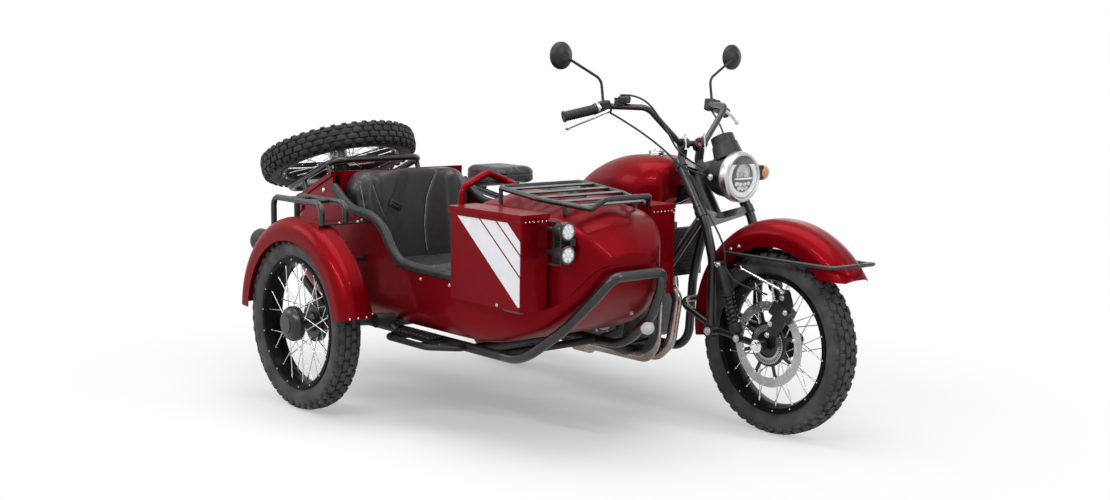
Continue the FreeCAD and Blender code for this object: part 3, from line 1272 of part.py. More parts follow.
def side_covers():
    """Two rounded triangular covers under the saddle."""
    covers = []
    for side in (-1, 1):
        body = new_body("side_cover")
        drawn = sketch(body, "XZ_Plane", cover_y * -side)
        outline(drawn, [(cover_rear_x, cover_top_z, cover_thick), (cover_front_x, cover_top_z, cover_thick),
                        (cover_front_x - cover_thick, cover_low_z + cover_thick * 2,
                         cover_thick), (cover_rear_x + cover_thick * 4, cover_low_z, cover_thick * 1.5)])
        pad(body, drawn, cover_thick, back=side > 0)
        covers.append(body)
    pins = []
    for side in (-1, 1):
        for z in (cover_low_z + cover_thick * 2.5, cover_top_z - cover_thick * 2):
            inner = point(cradle_rear_x - frame_radius * 0.9,
                          (cradle_y + frame_radius + running_gap) * side, z)
            pins.append(rod(inner, V(inner.x, float(cover_y + cover_thick / 2) * side, inner.z),
                            axle_radius * 0.8))
    return seat(fused("side_cover_pair", covers + [shape_object("cover_pins",
                                                                Part.makeCompound(pins))]), "side_covers")


tail_x = size("tail_x", -236, "rear of the tail lamp")
tail_z = size("tail_z", 742, "middle of the tail lamp, height")
tail_radius = size("tail_radius", 46, "round tail lamp")
plate_width = size("plate_width", 190, "number plate bracket")
plate_height = size("plate_height", 120, "number plate bracket, height")
plate_hole_gap = size("plate_hole_gap", 130, "hole to hole on the plate bracket")
plate_hole_radius = size("plate_hole_radius", 3.5, "hole on the plate bracket")
plate_x = size("plate_x", -322, "rear face of the plate bracket")
plate_top_z = size("plate_top_z", 670, "top of the plate bracket")


def tail_lamp():
    """Round tail lamp, its stay and the bare plate bracket with two holes."""
    bracket_plate = new_body("plate")
    drawn = sketch(bracket_plate, "YZ_Plane", plate_x)
    half = plate_width / 2
    outline(drawn, [(-half, plate_top_z - plate_height, flange_thick),
                    (-half, plate_top_z, flange_thick), (half, plate_top_z, flange_thick), (half,
                                                                                            plate_top_z - plate_height, flange_thick)])
    pad(bracket_plate, drawn, fender_wall)
    holes = sketch(bracket_plate, "YZ_Plane", plate_x)
    disc(holes, plate_hole_gap / 2, plate_top_z - plate_height * 0.3, plate_hole_radius)
    disc(holes, plate_hole_gap / -2, plate_top_z - plate_height * 0.3, plate_hole_radius)
    pocket(bracket_plate, holes, fender_wall * 3, middle=True)
    doc.recompute()
    lamp = turned(point(tail_rail_x - frame_radius * 1.2, NONE, tail_z), point(tail_x, NONE, tail_z),
                  [(0.0, tail_radius * 0.8), (0.5, tail_radius), (0.85, tail_radius),
                   (1.0, tail_radius * 0.7)])
    stay = tube([point(tail_rail_x - frame_radius * 2, NONE, tail_z),
                 point(tail_rail_x - frame_radius * 2.4, NONE,
                       plate_top_z - plate_height * 0.15), point(plate_x + fender_wall, NONE,
                                                                 plate_top_z - plate_height * 0.15)], bar_radius, bar_radius * 2)
    whole = fused("tail_lamp", [bracket_plate, shape_object("tail", union([lamp, stay]))])
    return seat(whole, "tail_lamp")


peg_x = size("peg_x", 560, "rider's footpegs")
peg_z = size("peg_z", 288, "rider's footpegs, height")
peg_out = size("peg_out", 262, "outer end of a footpeg, from the centre plane")
peg_radius = size("peg_radius", 13, "footpeg rubber")


def foot_controls():
    """Footpegs with the brake pedal and gear lever ahead of them."""
    parts = []
    for side in (-1, 1):
        inner = (cradle_y + frame_radius + running_gap) * side
        peg_in = (case_half + cover_reach + bar_radius * 1.6) * side
        peg = union([tube([point(peg_x, inner, cradle_z), point(peg_x, peg_in, cradle_z),
                           point(peg_x, peg_in, peg_z)], bar_radius, bar_radius * 2),
                     rod(point(peg_x, peg_in - bar_radius * side, peg_z),
                         point(peg_x, peg_out * side, peg_z), peg_radius)])
        lever_y = (case_half + cover_reach + peg_radius * 2) * side
        lever = tube([point(peg_x, lever_y, peg_z), point(peg_x + peg_radius * 8, lever_y,
                                                          peg_z + peg_radius), point(peg_x + peg_radius * 12, lever_y, peg_z + peg_radius)], peg_radius * 0.45, peg_radius)
        toe = rod(point(peg_x + peg_radius * 12, lever_y, peg_z + peg_radius),
                  point(peg_x + peg_radius * 12, lever_y + peg_radius * 4 * side,
                        peg_z + peg_radius), peg_radius * 0.7)
        parts.append(union([peg, lever, toe]))
    return seat(shape_object("foot_controls", Part.makeCompound(parts)), "foot_controls")


for make in (motorcycle_frame, engine, radiator, exhaust, fuel_tank, saddles, rear_fender,
             rear_suspension, side_covers, tail_lamp, foot_controls):
    make()

# Sidecar body, laid out about its own middle plane
hull_rear_x = size("hull_rear_x", -296, "rear of the sidecar body")
hull_front_x = size("hull_front_x", 1412, "front of the sidecar body")
hull_half = size("hull_half", 309, "half the width of the sidecar body")
hull_low_z = size("hull_low_z", 332, "underside of the sidecar body")
hull_wall = size("hull_wall", 9, "wall of the sidecar body")
lid_front_x = size("lid_front_x", 84, "hinge of the trunk lid")
lid_front_z = size("lid_front_z", 858, "hinge of the trunk lid, height")
lid_thick = size("lid_thick", 17, "thickness of the trunk lid")
lid_gap = size("lid_gap", 1, "gap under a closed lid")
lid_out = size("lid_out", 6, "how far the trunk lid overhangs the hull")
lid_lip = size("lid_lip", 4, "sheet of the lid's turned-down lip")
edging_radius = size("edging_radius", 17, "padded tube round the cockpit")
cowl_rear_x = size("cowl_rear_x", 880, "rear edge of the nose cowl")
shoulder_z = size("shoulder_z", 488, "shelf that the toolboxes stand on")
flange_z = size("flange_z", 644, "front of the hull's upper edge")
coaming_z = size("coaming_z", 553, "cockpit edging at the step-in")
edging_high_z = size("edging_high_z", 800, "rear end of the cockpit edging, height")
cowl_half = size("cowl_half", 222, "half the width of the nose cowl")
cowl_side_z = size("cowl_side_z", 796, "side of the nose cowl's top")
cowl_crown_z = size("cowl_crown_z", 842, "middle of the nose cowl's top")
hull_corner = size("hull_corner", 82, "rounding along the hull's lower edge")
bulkhead_x = size("bulkhead_x", 96, "front face of the bulkhead behind the seat")
bulkhead_thick = size("bulkhead_thick", 10, "bulkhead")
seat_box_front_x = size("seat_box_front_x", 575, "front of the seat box")
seat_box_z = size("seat_box_z", 432, "top of the seat box")

slope_run = math.tan(math.radians(float(deck_slope)))

def along_hull(share, inset=NONE):
    """A place along the hull, as a share of its length."""
    return hull_rear_x + (hull_front_x - hull_rear_x) * share - inset


def trimmed(body, ring, top):
    """Cut away what lies outside a plan outline and its mirror image."""
    drawn = sketch(body, "XY_Plane")
    outline(drawn, ring + [(corner[0], -corner[1]) + tuple(corner[2:]) for corner in reversed(ring)])
    wide = hull_half * 1.3
    outline(drawn, [(hull_rear_x - wide, -wide), (hull_front_x + wide, -wide),
                    (hull_front_x + wide, wide), (hull_rear_x - wide, wide)])
    return pocket(body, drawn, top * 1.2, back=True)


def hull_ring(inset):
    """The hull's outline from above, one side: narrower at the rear and drawn in at the front."""
    length, half = hull_front_x - hull_rear_x, hull_half - inset
    small = hull_corner * 1.5 - inset
    return [(hull_rear_x + inset, half * 0.85, small), (along_hull(0.25), half, length * 1.6),
            (along_hull(0.7), half, length * 1.6),
            (along_hull(0.896, inset * 0.4), half * 0.9, length * 0.24), (hull_front_x - inset,
                                                                          half * 0.4, small)]


def is_seam(shape, edge):
    """True for an edge whose two faces run smoothly into each other."""
    faces = [f for f in shape.Faces if any(other.isSame(edge) for other in f.Edges)]
    middle = edge.valueAt((edge.FirstParameter + edge.LastParameter) / 2)
    normals = [f.normalAt(*f.Surface.parameter(middle)) for f in faces]
    return len(normals) == 2 and normals[0].getAngle(normals[1]) < math.radians(5)


def hull_form(name, inset, top):
    """The hull's outer form, or the same form set in by the wall: profile, plan and rounded lower edge."""
    body = new_body(name)
    length = hull_front_x - hull_rear_x
    low, rise = hull_low_z + inset, flange_z - hull_low_z
    rear, front = hull_rear_x + inset, hull_front_x - inset
    side = sketch(body, "XZ_Plane")
    outline(side, [(rear, top), (rear - inset * 0.2, low + rise * 0.42, hull_corner * 1.4 - inset),
                   (along_hull(0.09, -inset * 0.4), low + rise * 0.06, length * 0.2),
                   (along_hull(0.22), low, length * 0.5), (along_hull(0.77), low,
                                                           length * 0.4), (along_hull(0.905,
                                                                                      inset * 0.4), low + rise * 0.26, length * 0.24),
                   (along_hull(0.978, inset * 0.7), low + rise * 0.64,
                    length * 0.14), (front + hull_corner * 0.35,
                                     low + rise * 1.1), (front + hull_corner * 0.35, top)])
    pad(body, side, hull_half * 2 - inset * 2, middle=True)
    cut = trimmed(body, hull_ring(inset), top)
    doc.recompute()
    whole, level = cut.Shape, float(top) - float(edge_margin)

    def lower_edge(edge):
        box = edge.BoundBox
        upright = box.XLength < float(edge_tolerance) and box.YLength < float(edge_tolerance)
        return box.ZMin < level and not upright and not is_seam(whole, edge)
    soften(body, cut, hull_corner - inset, edges_where(whole, lower_edge))
    return body


def lid_line(x, below=0.0):
    """Height of the trunk lid's top plane at a place along the body, or a distance square below it."""
    return float(lid_front_z) - (float(lid_front_x) - x) * slope_run - below / math.cos(math.radians(float(deck_slope)))


# Cockpit edging: share of its run forward, share of its rise.
coaming_shares = ((0.0, 1.0), (0.085, 0.82), (0.165, 0.7), (0.33, 0.65), (0.425, 0.51), (0.505, 0.19),
                  (0.57, 0.045), (0.7, 0.01), (1.0, 0.0))


def coaming_path(y):
    """Middle of the cockpit edging, from the trunk lid's front edge to the toolbox."""
    start, end = float(lid_front_x + edging_radius * 0.65), float(cowl_rear_x - edging_radius * 0.6)
    low, high = float(coaming_z), float(edging_high_z)
    return [V(start + (end - start) * along, float(y), low + (high - low) * up) for along,
            up in coaming_shares]


def coaming_bends(path):
    """Bend radius at each inner point of the edging, as large as its neighbours allow."""
    bends = []
    for i in range(1, len(path) - 1):
        before, after = path[i] - path[i - 1], path[i + 1] - path[i]
        run = min(before.Length, after.Length) * 0.45
        bends.append(min(run / math.tan(before.getAngle(after) / 2), float(edging_radius) * 12))
    return bends


def bent(path, bends):
    """Points along a path whose corners are rounded by the given radii."""
    points = [path[0]]
    for corner, before, after, radius in zip(path[1:-1], path, path[2:], bends):
        back, ahead = (before - corner).normalize(), (after - corner).normalize()
        half = back.getAngle(ahead) / 2
        run = radius / math.tan(half)
        centre = corner + (back + ahead).normalize() * (radius / math.sin(half))
        first, last = corner + back * run, corner + ahead * run
        for i in range(7):
            mixed = (first - centre) * (1 - i / 6) + (last - centre) * (i / 6)
            points.append(centre + mixed.normalize() * radius)
    return points + [path[-1]]


def offset_below(path, distance):
    """The same path moved square to itself, downwards."""
    moved = []
    for i, p in enumerate(path):
        a, b = path[max(i - 1, 0)], path[min(i + 1, len(path) - 1)]
        before, after = (p - a), (b - p)
        before = before.normalize() if before.Length > 0 else after.normalize()
        after = after.normalize() if after.Length > 0 else before
        normal = V(before.z, 0, -before.x) + V(after.z, 0, -after.x)
        normal = normal.normalize()
        stretch = 1 / max(normal.dot(V(before.z, 0, -before.x)), 0.5)
        if normal.z > 0:
            normal = normal * -1
        moved.append(p + normal * distance * stretch)
    return moved


def flange_line():
    """Upper edge of the hull ahead of the cockpit: level under the toolboxes, then up round the nose."""
    span, rise = float(hull_front_x - cowl_rear_x), float(flange_z - shoulder_z)
    line_shares = ((0.0, 0.0), (0.725, 0.0), (0.82, 0.2), (0.905, 0.56), (0.96, 0.84), (1.06, 1.17))
    return [V(float(cowl_rear_x) + span * along, 0, float(shoulder_z) + rise * up) for along,
            up in line_shares]


def side_cutter(points, above):
    """A slab over the whole width, with the given lower or upper line."""
    level = float(lid_front_z) * (1.4 if above else 0.2)
    ring = points + [V(points[-1].x, 0, level), V(points[0].x, 0, level)]
    ring = [V(p.x, -2 * float(hull_half), p.z) for p in ring]
    return Part.Face(Part.makePolygon(ring + ring[:1])).extrude(V(0, 4 * float(hull_half), 0))


def sidecar_tub():
    """Boat-shaped lower body with its trunk, cockpit and footwell, cut along the lid, edging and flange."""
    top = lid_front_z + edging_radius
    outer = hull_form("hull_outer", NONE, top)
    inner = hull_form("hull_inner", hull_wall, top + edging_radius)
    doc.recompute()
    length, wide, high = float(hull_front_x - hull_rear_x), float(hull_half), float(top) * 1.1
    shelf_rear = float(cowl_rear_x - hull_wall)
    way = float(cowl_half - hull_wall)
    rear = float(hull_rear_x)
    room = Part.makeBox(shelf_rear - rear, 2 * wide, high, V(rear, -wide, 0))
    under_shelf = Part.makeBox(length, 2 * wide, float(shoulder_z - hull_wall), V(rear, -wide, 0))
    under_cowl = Part.makeBox(length, 2 * way, high, V(rear, -way, 0))
    spaces = room.fuse([under_shelf, under_cowl])
    bulkhead = Part.makeBox(float(bulkhead_thick), 2 * wide, high,
                            V(float(bulkhead_x - bulkhead_thick), -wide, 0))
    hollow = doc.addObject("Part::Common", "hull_hollow")
    hollow.Base, hollow.Tool = inner, shape_object("hull_spaces", spaces.cut(bulkhead))
    shell = doc.addObject("Part::Cut", "hull_shell")
    shell.Base, shell.Tool = outer, hollow
    middle = coaming_path(0)
    edge = offset_below(bent(middle, coaming_bends(middle)), float(edging_radius + running_gap * 3))
    lid_under = float(lid_thick + lid_gap)
    behind = rear - float(hull_wall)
    profile = [V(behind, 0, lid_line(behind, lid_under)), V(float(lid_front_x), 0,
                                                            lid_line(float(lid_front_x), lid_under))]
    hinge_x = float(lid_front_x)
    first, second = edge[0], edge[1]
    profile.append(V(hinge_x, 0, first.z + (second.z - first.z) * (hinge_x - first.x) / (second.x - first.x)))
    profile += [p for p in edge if p.x > hinge_x]
    profile += [V(float(cowl_rear_x - running_gap), 0, edge[-1].z)] + flange_line()
    cutter = shape_object("hull_cutter", side_cutter(profile, True))
    cut = doc.addObject("Part::Cut", "hull_cut")
    cut.Base, cut.Tool = shell, cutter
    inside = float(hull_half - hull_wall)
    floor = float(hull_low_z + hull_wall)
    front, panel = float(seat_box_front_x), float(hull_wall)
    shelf = Part.makeBox(front - float(bulkhead_x), 2 * inside, panel,
                         V(float(bulkhead_x), -inside, float(seat_box_z) - panel))
    apron = inside - float(hull_corner)
    riser = Part.makeBox(panel, 2 * apron, float(seat_box_z) - floor, V(front - panel, -apron, floor))
    between = inside - float(edging_radius) * 1.5
    low_header = float(coaming_z)
    header = Part.makeBox(float(bulkhead_thick), 2 * between,
                          float(lid_front_z) - low_header - float(side_gap),
                          V(float(bulkhead_x - bulkhead_thick), -between, low_header))
    whole = fused("hull_whole", [cut, shape_object("seat_box", union([shelf, riser])),
                                 shape_object("header", header)])
    return seat(whole, "sidecar_tub", NONE, sidecar_y, NONE)


# Stations of the cowl: place along it, half width, side height, crown height.
cowl_shares = ((0.0, 1.0, 1.0, 1.0), (0.25, 1.0, 0.995, 0.995), (0.5, 1.0, 0.965, 0.97),
               (0.7, 0.985, 0.88, 0.9),
               (0.85, 0.87, 0.68, 0.73), (0.95, 0.68, 0.38, 0.46), (1.0, 0.42, 0.1, 0.16))


def cowl_station(body, along, wide, side_share, crown_share, inset, stretch=0.0):
    x = cowl_rear_x + running_gap + (hull_front_x - cowl_rear_x - running_gap * 2) * along + stretch
    drawn = sketch(body, "YZ_Plane", x)
    half = cowl_half * wide - inset
    side_z = flange_z + (cowl_side_z - flange_z) * side_share - inset
    crown_z = flange_z + (cowl_crown_z - flange_z) * crown_share - inset
    corner = hull_wall * 4
    outline(drawn, [(-half, shoulder_z - hull_wall * 3), (-half, side_z, corner),
                    (NONE, crown_z, cowl_half), (half, side_z, corner), (half, shoulder_z - hull_wall * 3)])
    return drawn


def sidecar_nose():
    """The cowl over the passenger's feet, open below and towards the cockpit."""
    body = new_body("sidecar_nose")
    loft(body, [cowl_station(body, *shares, NONE) for shares in cowl_shares])
    inner = []
    for along, wide, side_share, crown_share in cowl_shares[:6]:
        inner.append(cowl_station(body, along, wide, side_share, crown_share, hull_wall,
                                  -hull_wall * (2 if along == 0 else 1)))
    loft(body, inner, cut=True)
    doc.recompute()
    under = [p + V(0, 0, float(running_gap)) for p in flange_line()]
    under[0] = under[0] - V(float(hull_wall) * 4, 0, 0)
    cutter = shape_object("nose_cutter", side_cutter(under, False))
    cut = doc.addObject("Part::Cut", "nose_cut")
    cut.Base, cut.Tool = body, cutter
    return seat(cut, "sidecar_nose", NONE, sidecar_y, NONE)


box_length = size("box_length", 380, "toolbox, front to back")
box_inner_y = size("box_inner_y", 225, "inner face of a toolbox, from the sidecar's middle")
box_depth = size("box_depth", 114, "toolbox, side to side")
box_top_z = size("box_top_z", 800, "top of a closed toolbox")
box_lid = size("box_lid", 16, "depth of a toolbox lid")
box_wall = size("box_wall", 4, "wall of a toolbox")
box_rim = size("box_rim", 5, "how far a lid overhangs its box")
box_clear = size("box_clear", 1.5, "room between a lid's rim and its box")


def toolbox(side, label):
    """An upright box, open at the top."""
    body = new_body(label)
    low = shoulder_z + running_gap
    high = box_top_z - box_lid * 0.4
    rear = cowl_rear_x
    near, far = box_inner_y * side, (box_inner_y + box_depth) * side
    plan = sketch(body, "XY_Plane", low)
    corner = box_wall * 2
    outline(plan, [(rear, near, corner), (rear + box_length, near, corner),
                   (rear + box_length, far, corner), (rear, far, corner)])
    pad(body, plan, high - low)
    inside = sketch(body, "XY_Plane", low + box_wall)
    wall = box_wall * side
    outline(inside, [(rear + box_wall, near + wall, box_wall),
                     (rear + box_length - box_wall, near + wall, box_wall),
                     (rear + box_length - box_wall, far - wall, box_wall), (rear + box_wall, far - wall,
                                                                            box_wall)])
    pocket(body, inside, high - low, back=True)
    return seat(body, label, NONE, sidecar_y, NONE)


def toolbox_lid(side, label):
    """A flat lid with a turned-down rim on the three free sides, hinged along the inner top edge."""
    body = new_body(label)
    rear, front = cowl_rear_x - box_rim, cowl_rear_x + box_length + box_rim
    near, far = box_inner_y * side, (box_inner_y + box_depth + box_rim) * side
    sheet_z = box_top_z - box_lid * 0.4 + lid_gap
    plan = sketch(body, "XY_Plane", sheet_z)
    outline(plan, [(rear, near), (front, near), (front, far, box_rim), (rear, far, box_rim)])
    pad(body, plan, box_top_z - sheet_z)
    rim = sketch(body, "XY_Plane", box_top_z - box_lid)
    thin = box_rim - box_clear
    inner_far = far - thin * side
    outline(rim, [(rear, near), (rear, far, box_rim), (front, far, box_rim), (front, near),
                  (front - thin, near),
                  (front - thin, inner_far), (rear + thin, inner_far), (rear + thin, near)])
    pad(body, rim, box_lid)
    return seat(body, label, NONE, sidecar_y, NONE)


def cockpit_edging():
    """Padded tube along both sides of the cockpit."""
    parts = []
    for side in (-1, 1):
        path = coaming_path((hull_half - hull_wall * 0.6) * side)
        parts.append(tube(path, edging_radius, coaming_bends(path)))
    return seat(shape_object("cockpit_edging", Part.makeCompound(parts)), "cockpit_edging", NONE,
                sidecar_y, NONE)


back_top_z = size("back_top_z", 868, "top of the passenger's seat back")
back_thick = size("back_thick", 84, "passenger's seat back")
back_half = size("back_half", 268, "half the width of the passenger's seat back")
back_lean = size("back_lean", 62, "how far the seat back leans over its height")
cushion_height = size("cushion_height", 100, "passenger's seat cushion")
soft_gap = size("soft_gap", 3, "room round the passenger's cushions")


def seat_back():
    """A leaning pad with round shoulders."""
    body = new_body("seat_back")
    half = back_half
    rear = bulkhead_x + running_gap
    low = seat_box_z + running_gap
    drawn = sketch(body, "YZ_Plane", rear)
    outline(drawn, [(-half, low), (-half, back_top_z, back_thick), (half, back_top_z, back_thick),
                    (half, low)])
    pad(body, drawn, back_thick + back_lean)
    front = rear + back_thick
    slope = sketch(body, "XZ_Plane")
    outline(slope, [(front, back_top_z + back_thick), (front, back_top_z), (front + back_lean, low),
                    (front + back_thick, low), (front + back_thick, back_top_z + back_thick)])
    block = pocket(body, slope, half * 3, middle=True)
    doc.recompute()
    plane = float(front)
    soften(body, block, back_thick * 0.2, edges_where(
        block.Shape, lambda e: e.BoundBox.XMin > plane - float(edge_margin) and e.BoundBox.ZMax > float(low + edge_margin)))
    return seat(body, "seat_back", NONE, sidecar_y, NONE)


def seat_cushion():
    body = new_body("seat_cushion")
    rear = bulkhead_x + back_thick + back_lean + soft_gap
    half = hull_half - hull_wall - soft_gap * 5
    plan = sketch(body, "XY_Plane", seat_box_z + running_gap)
    outline(plan, [(rear, -half, saddle_soft), (rear, half, saddle_soft),
                   (seat_box_front_x, half, saddle_soft), (seat_box_front_x, -half, saddle_soft)])
    block = pad(body, plan, cushion_height)
    doc.recompute()
    level = float(seat_box_z + running_gap + cushion_height)
    soften(body, block, saddle_soft * 0.8,
           edges_where(block.Shape, lambda e: all(abs(v.Z - level) < float(edge_tolerance) for v in e.Vertexes)))
    return seat(body, "seat_cushion", NONE, sidecar_y, NONE)


handle_radius = size("handle_radius", 12, "passenger's grab handle")
handle_top_z = size("handle_top_z", 900, "top of the grab handle")
handle_near_y = size("handle_near_y", -281, "outer foot of the handle, from the sidecar's middle")
handle_far_y = size("handle_far_y", -75, "inner foot of the handle, from the sidecar's middle")
handle_foot = size("handle_foot", 46, "how far the outer foot reaches down the toolbox")


def grab_handle():
    """Bent red tube from the back of the near toolbox up and over to the cowl."""
    x = cowl_rear_x - box_rim - handle_radius * 1.6
    foot_z = box_top_z - handle_foot
    peak_y = handle_near_y * 0.58
    path = [point(cowl_rear_x - running_gap, handle_near_y, foot_z), point(x, handle_near_y, foot_z),
            point(x, handle_near_y * 0.95, handle_top_z - handle_foot),
            point(x, peak_y, handle_top_z), point(x, handle_far_y,
                                                  cowl_crown_z + handle_radius * 2), point(cowl_rear_x + handle_radius * 2.5, handle_far_y, cowl_crown_z + handle_radius * 1.1)]
    bends = [handle_radius * share for share in (1.4, 3.5, 3, 1.4)]
    whole = tube(path, handle_radius, bends)
    return seat(shape_object("grab_handle", whole), "grab_handle", NONE, sidecar_y, NONE)


rack_rear_x = size("rack_rear_x", 950, "rear of the luggage rack")
rack_rear_z = size("rack_rear_z", 858, "rear of the luggage rack, height")
rack_front_x = size("rack_front_x", 1352, "front corners of the luggage rack")
rack_front_z = size("rack_front_z", 815, "front corners of the luggage rack, height")
rack_half = size("rack_half", 188, "half the width of the rack")
rack_nose_half = size("rack_nose_half", 124, "half the width of the rack at its front")
rack_radius = size("rack_radius", 9, "rack tube")
rack_bow = size("rack_bow", 34, "how far the front bow stands up")
slat_width = size("slat_width", 26, "flat slat of the rack")
slat_thick = size("slat_thick", 5, "thickness of a slat")
SLATS = 5


def luggage_rack():
    """Tube frame that narrows to a raised bow, with flat slats across and feet down to the cowl."""
    slope = (float(rack_rear_z) - float(rack_front_z)) / (float(rack_front_x) - float(rack_rear_x))
    tilt = math.degrees(math.atan(slope))
    taper_x = rack_rear_x + (rack_front_x - rack_rear_x) * 0.52

    def level(x):
        return float(rack_rear_z) - (float(x) - float(rack_rear_x)) * slope

    side_path = [point(taper_x, -rack_half, level(taper_x)), point(rack_front_x, -rack_nose_half,
                                                                   rack_front_z),
                 point(rack_front_x + rack_bow, -rack_nose_half * 0.78, rack_front_z + rack_bow)]
    path = [point(rack_rear_x, NONE, rack_rear_z), point(rack_rear_x, -rack_half, rack_rear_z)] + side_path
    path += [V(p.x, -p.y, p.z) for p in reversed(side_path)] + [point(rack_rear_x, rack_half,
                                                                      rack_rear_z), point(rack_rear_x,
                                                                                          NONE, rack_rear_z)]
    bends = [rack_radius * 3, rack_radius * 4, rack_radius * 2, rack_radius * 2, rack_radius * 2,
             rack_radius * 2, rack_radius * 4, rack_radius * 3]
    parts = [tube(path, rack_radius, bends)]
    for i in range(SLATS):
        x = float(rack_rear_x) + (float(rack_front_x) - float(rack_rear_x)) * (0.14 + 0.19 * i)
        reach = float(rack_half) if x < float(taper_x) else float(rack_half) + (float(rack_nose_half) - float(rack_half)) * (x - float(taper_x)) / float(rack_front_x - taper_x)
        slat = Part.makeBox(float(slat_width), 2 * reach, float(slat_thick),
                            V(-float(slat_width) / 2, -reach, -float(slat_thick) / 2))
        slat.Placement = FreeCAD.Placement(V(x, 0, level(x) + float(rack_radius) * 0.5),
                                           FreeCAD.Rotation(V(0, 1, 0), tilt))
        parts.append(slat)
    return parts, level


def rack_feet(level, nose):
    """Feet from the rack's rails down to the cowl, each ending on the cowl's skin."""
    feet = []
    taper_x = float(rack_rear_x + (rack_front_x - rack_rear_x) * 0.52)
    near_x = taper_x + (float(rack_front_x) - taper_x) * 0.5
    for x, y in ((float(rack_rear_x) * 0.94 + taper_x * 0.06, float(rack_half)),
                 (near_x, float(rack_half + rack_nose_half) / 2)):
        for side in (-1, 1):
            skin = 0.0
            for ahead, out in ((-1, -1), (-1, 1), (1, -1), (1, 1)):
                spot = V(x + ahead * float(rack_radius) * 0.8,
                         (y + out * float(rack_radius) * 0.8) * side, 0)
                line = Part.makeLine(spot + V(0, 0, float(shoulder_z)), spot + V(0, 0, level(x)))
                skin = max([skin] + [v.Z for v in nose.common(line).Vertexes])
            feet.append(rod(V(x, y * side, skin + float(running_gap)), V(x, y * side, level(x)),
                            rack_radius * 0.8))
    return feet


bumper_radius = size("bumper_radius", 17, "bumper tube")
bumper_front_x = size("bumper_front_x", 1444, "cross bar of the bumper")
bumper_front_z = size("bumper_front_z", 604, "cross bar of the bumper, height")
bumper_half = size("bumper_half", 107, "half the width of the bumper's cross bar")
rail_y = size("rail_y", 226, "chassis rail from the sidecar's middle")
rail_z = size("rail_z", 296, "chassis rail, height")
rail_front_x = size("rail_front_x", 1030, "front end of a chassis rail")
rail_rear_x = size("rail_rear_x", -90, "rear end of a chassis rail")
step_x = size("step_x", 620, "middle of the step plate")
step_length = size("step_length", 232, "step plate")
step_width = size("step_width", 74, "step plate, side to side")
step_y = size("step_y", -286, "middle of the step plate, from the sidecar's middle")
step_radius = size("step_radius", 11, "tube round the step")
step_thick = size("step_thick", 6, "step plate, thickness")


def bumper():
    """Front hoop whose two legs run back under the hull to the chassis rails."""
    rise = float(bumper_front_z - rail_z)
    run = float(bumper_front_x - rail_front_x - running_gap)
    leg_shares = ((0.0, 0.0, 1.0), (0.18, 0.0, 1.0), (0.36, 0.11, 0.96), (0.67, 0.42, 0.72),
                  (0.9, 0.79, 0.3), (1.0, 1.0, 0.0))
    spread = float(rail_y - bumper_half)
    start_x = float(rail_front_x + running_gap)
    leg = [V(start_x + run * a, -(float(bumper_half) + spread * w), float(rail_z) + rise * u) for a, u,
           w in leg_shares]
    path = leg + [V(p.x, -p.y, p.z) for p in reversed(leg)]
    half_bends = [bumper_radius * share for share in (12, 12, 12, 7, 2.5)]
    bends = half_bends + half_bends[::-1]
    return seat(shape_object("bumper", tube(path, bumper_radius, bends)), "bumper", NONE, sidecar_y, NONE)


def step():
    """Ribbed plate on a loop of tube at the step-in."""
    half_long, half_wide = step_length / 2, step_width / 2
    z = rail_z
    out = step_y - half_wide - step_radius * 2
    inner_y = -rail_y - bumper_radius - running_gap
    turn_y = inner_y - step_radius * 2
    front_x, rear_x = step_x + half_long + step_radius * 9, step_x - half_long - step_radius * 2
    path = [point(front_x, inner_y, z), point(front_x, turn_y, z),
            point(step_x + half_long + step_radius * 1.5, out, z),
            point(step_x - half_long, out, z), point(rear_x, turn_y, z), point(rear_x, inner_y, z)]
    loop = tube(path, step_radius, [step_radius * share for share in (1.5, 4, 4, 1.5)])
    top = z + step_radius * 0.8
    plate = Part.makeBox(float(step_length), float(step_width), float(step_thick),
                         point(step_x - half_long, step_y - half_wide, top))
    ribs = []
    for i in range(6):
        y = step_y - half_wide + step_width * ((i + 0.5) / 6)
        ribs.append(Part.makeBox(float(step_length) * 0.94, float(step_thick) * 0.7,
                                 float(step_thick) * 1.6, point(step_x - half_long * 0.94, y, top)))
    struts = [rod(point(step_x + k * half_long * 0.7, inner_y, z),
                  point(step_x + k * half_long * 0.7, out, z), step_radius * 0.8) for k in (-1, 1)]
    whole = union([loop, plate] + ribs + struts)
    return seat(shape_object("step", whole), "step", NONE, sidecar_y, NONE)


strut_radius = size("strut_radius", 15, "struts between sidecar and motorcycle")
side_arm_y = size("side_arm_y", -398, "trailing arm of the sidecar wheel, from the sidecar's middle")
side_pivot_x = size("side_pivot_x", 540, "pivot of that arm")
side_pivot_z = size("side_pivot_z", 366, "pivot of that arm, height")
side_shock_z = size("side_shock_z", 560, "upper eye of the sidecar shock")
side_shock_x = size("side_shock_x", 300, "sidecar shock")


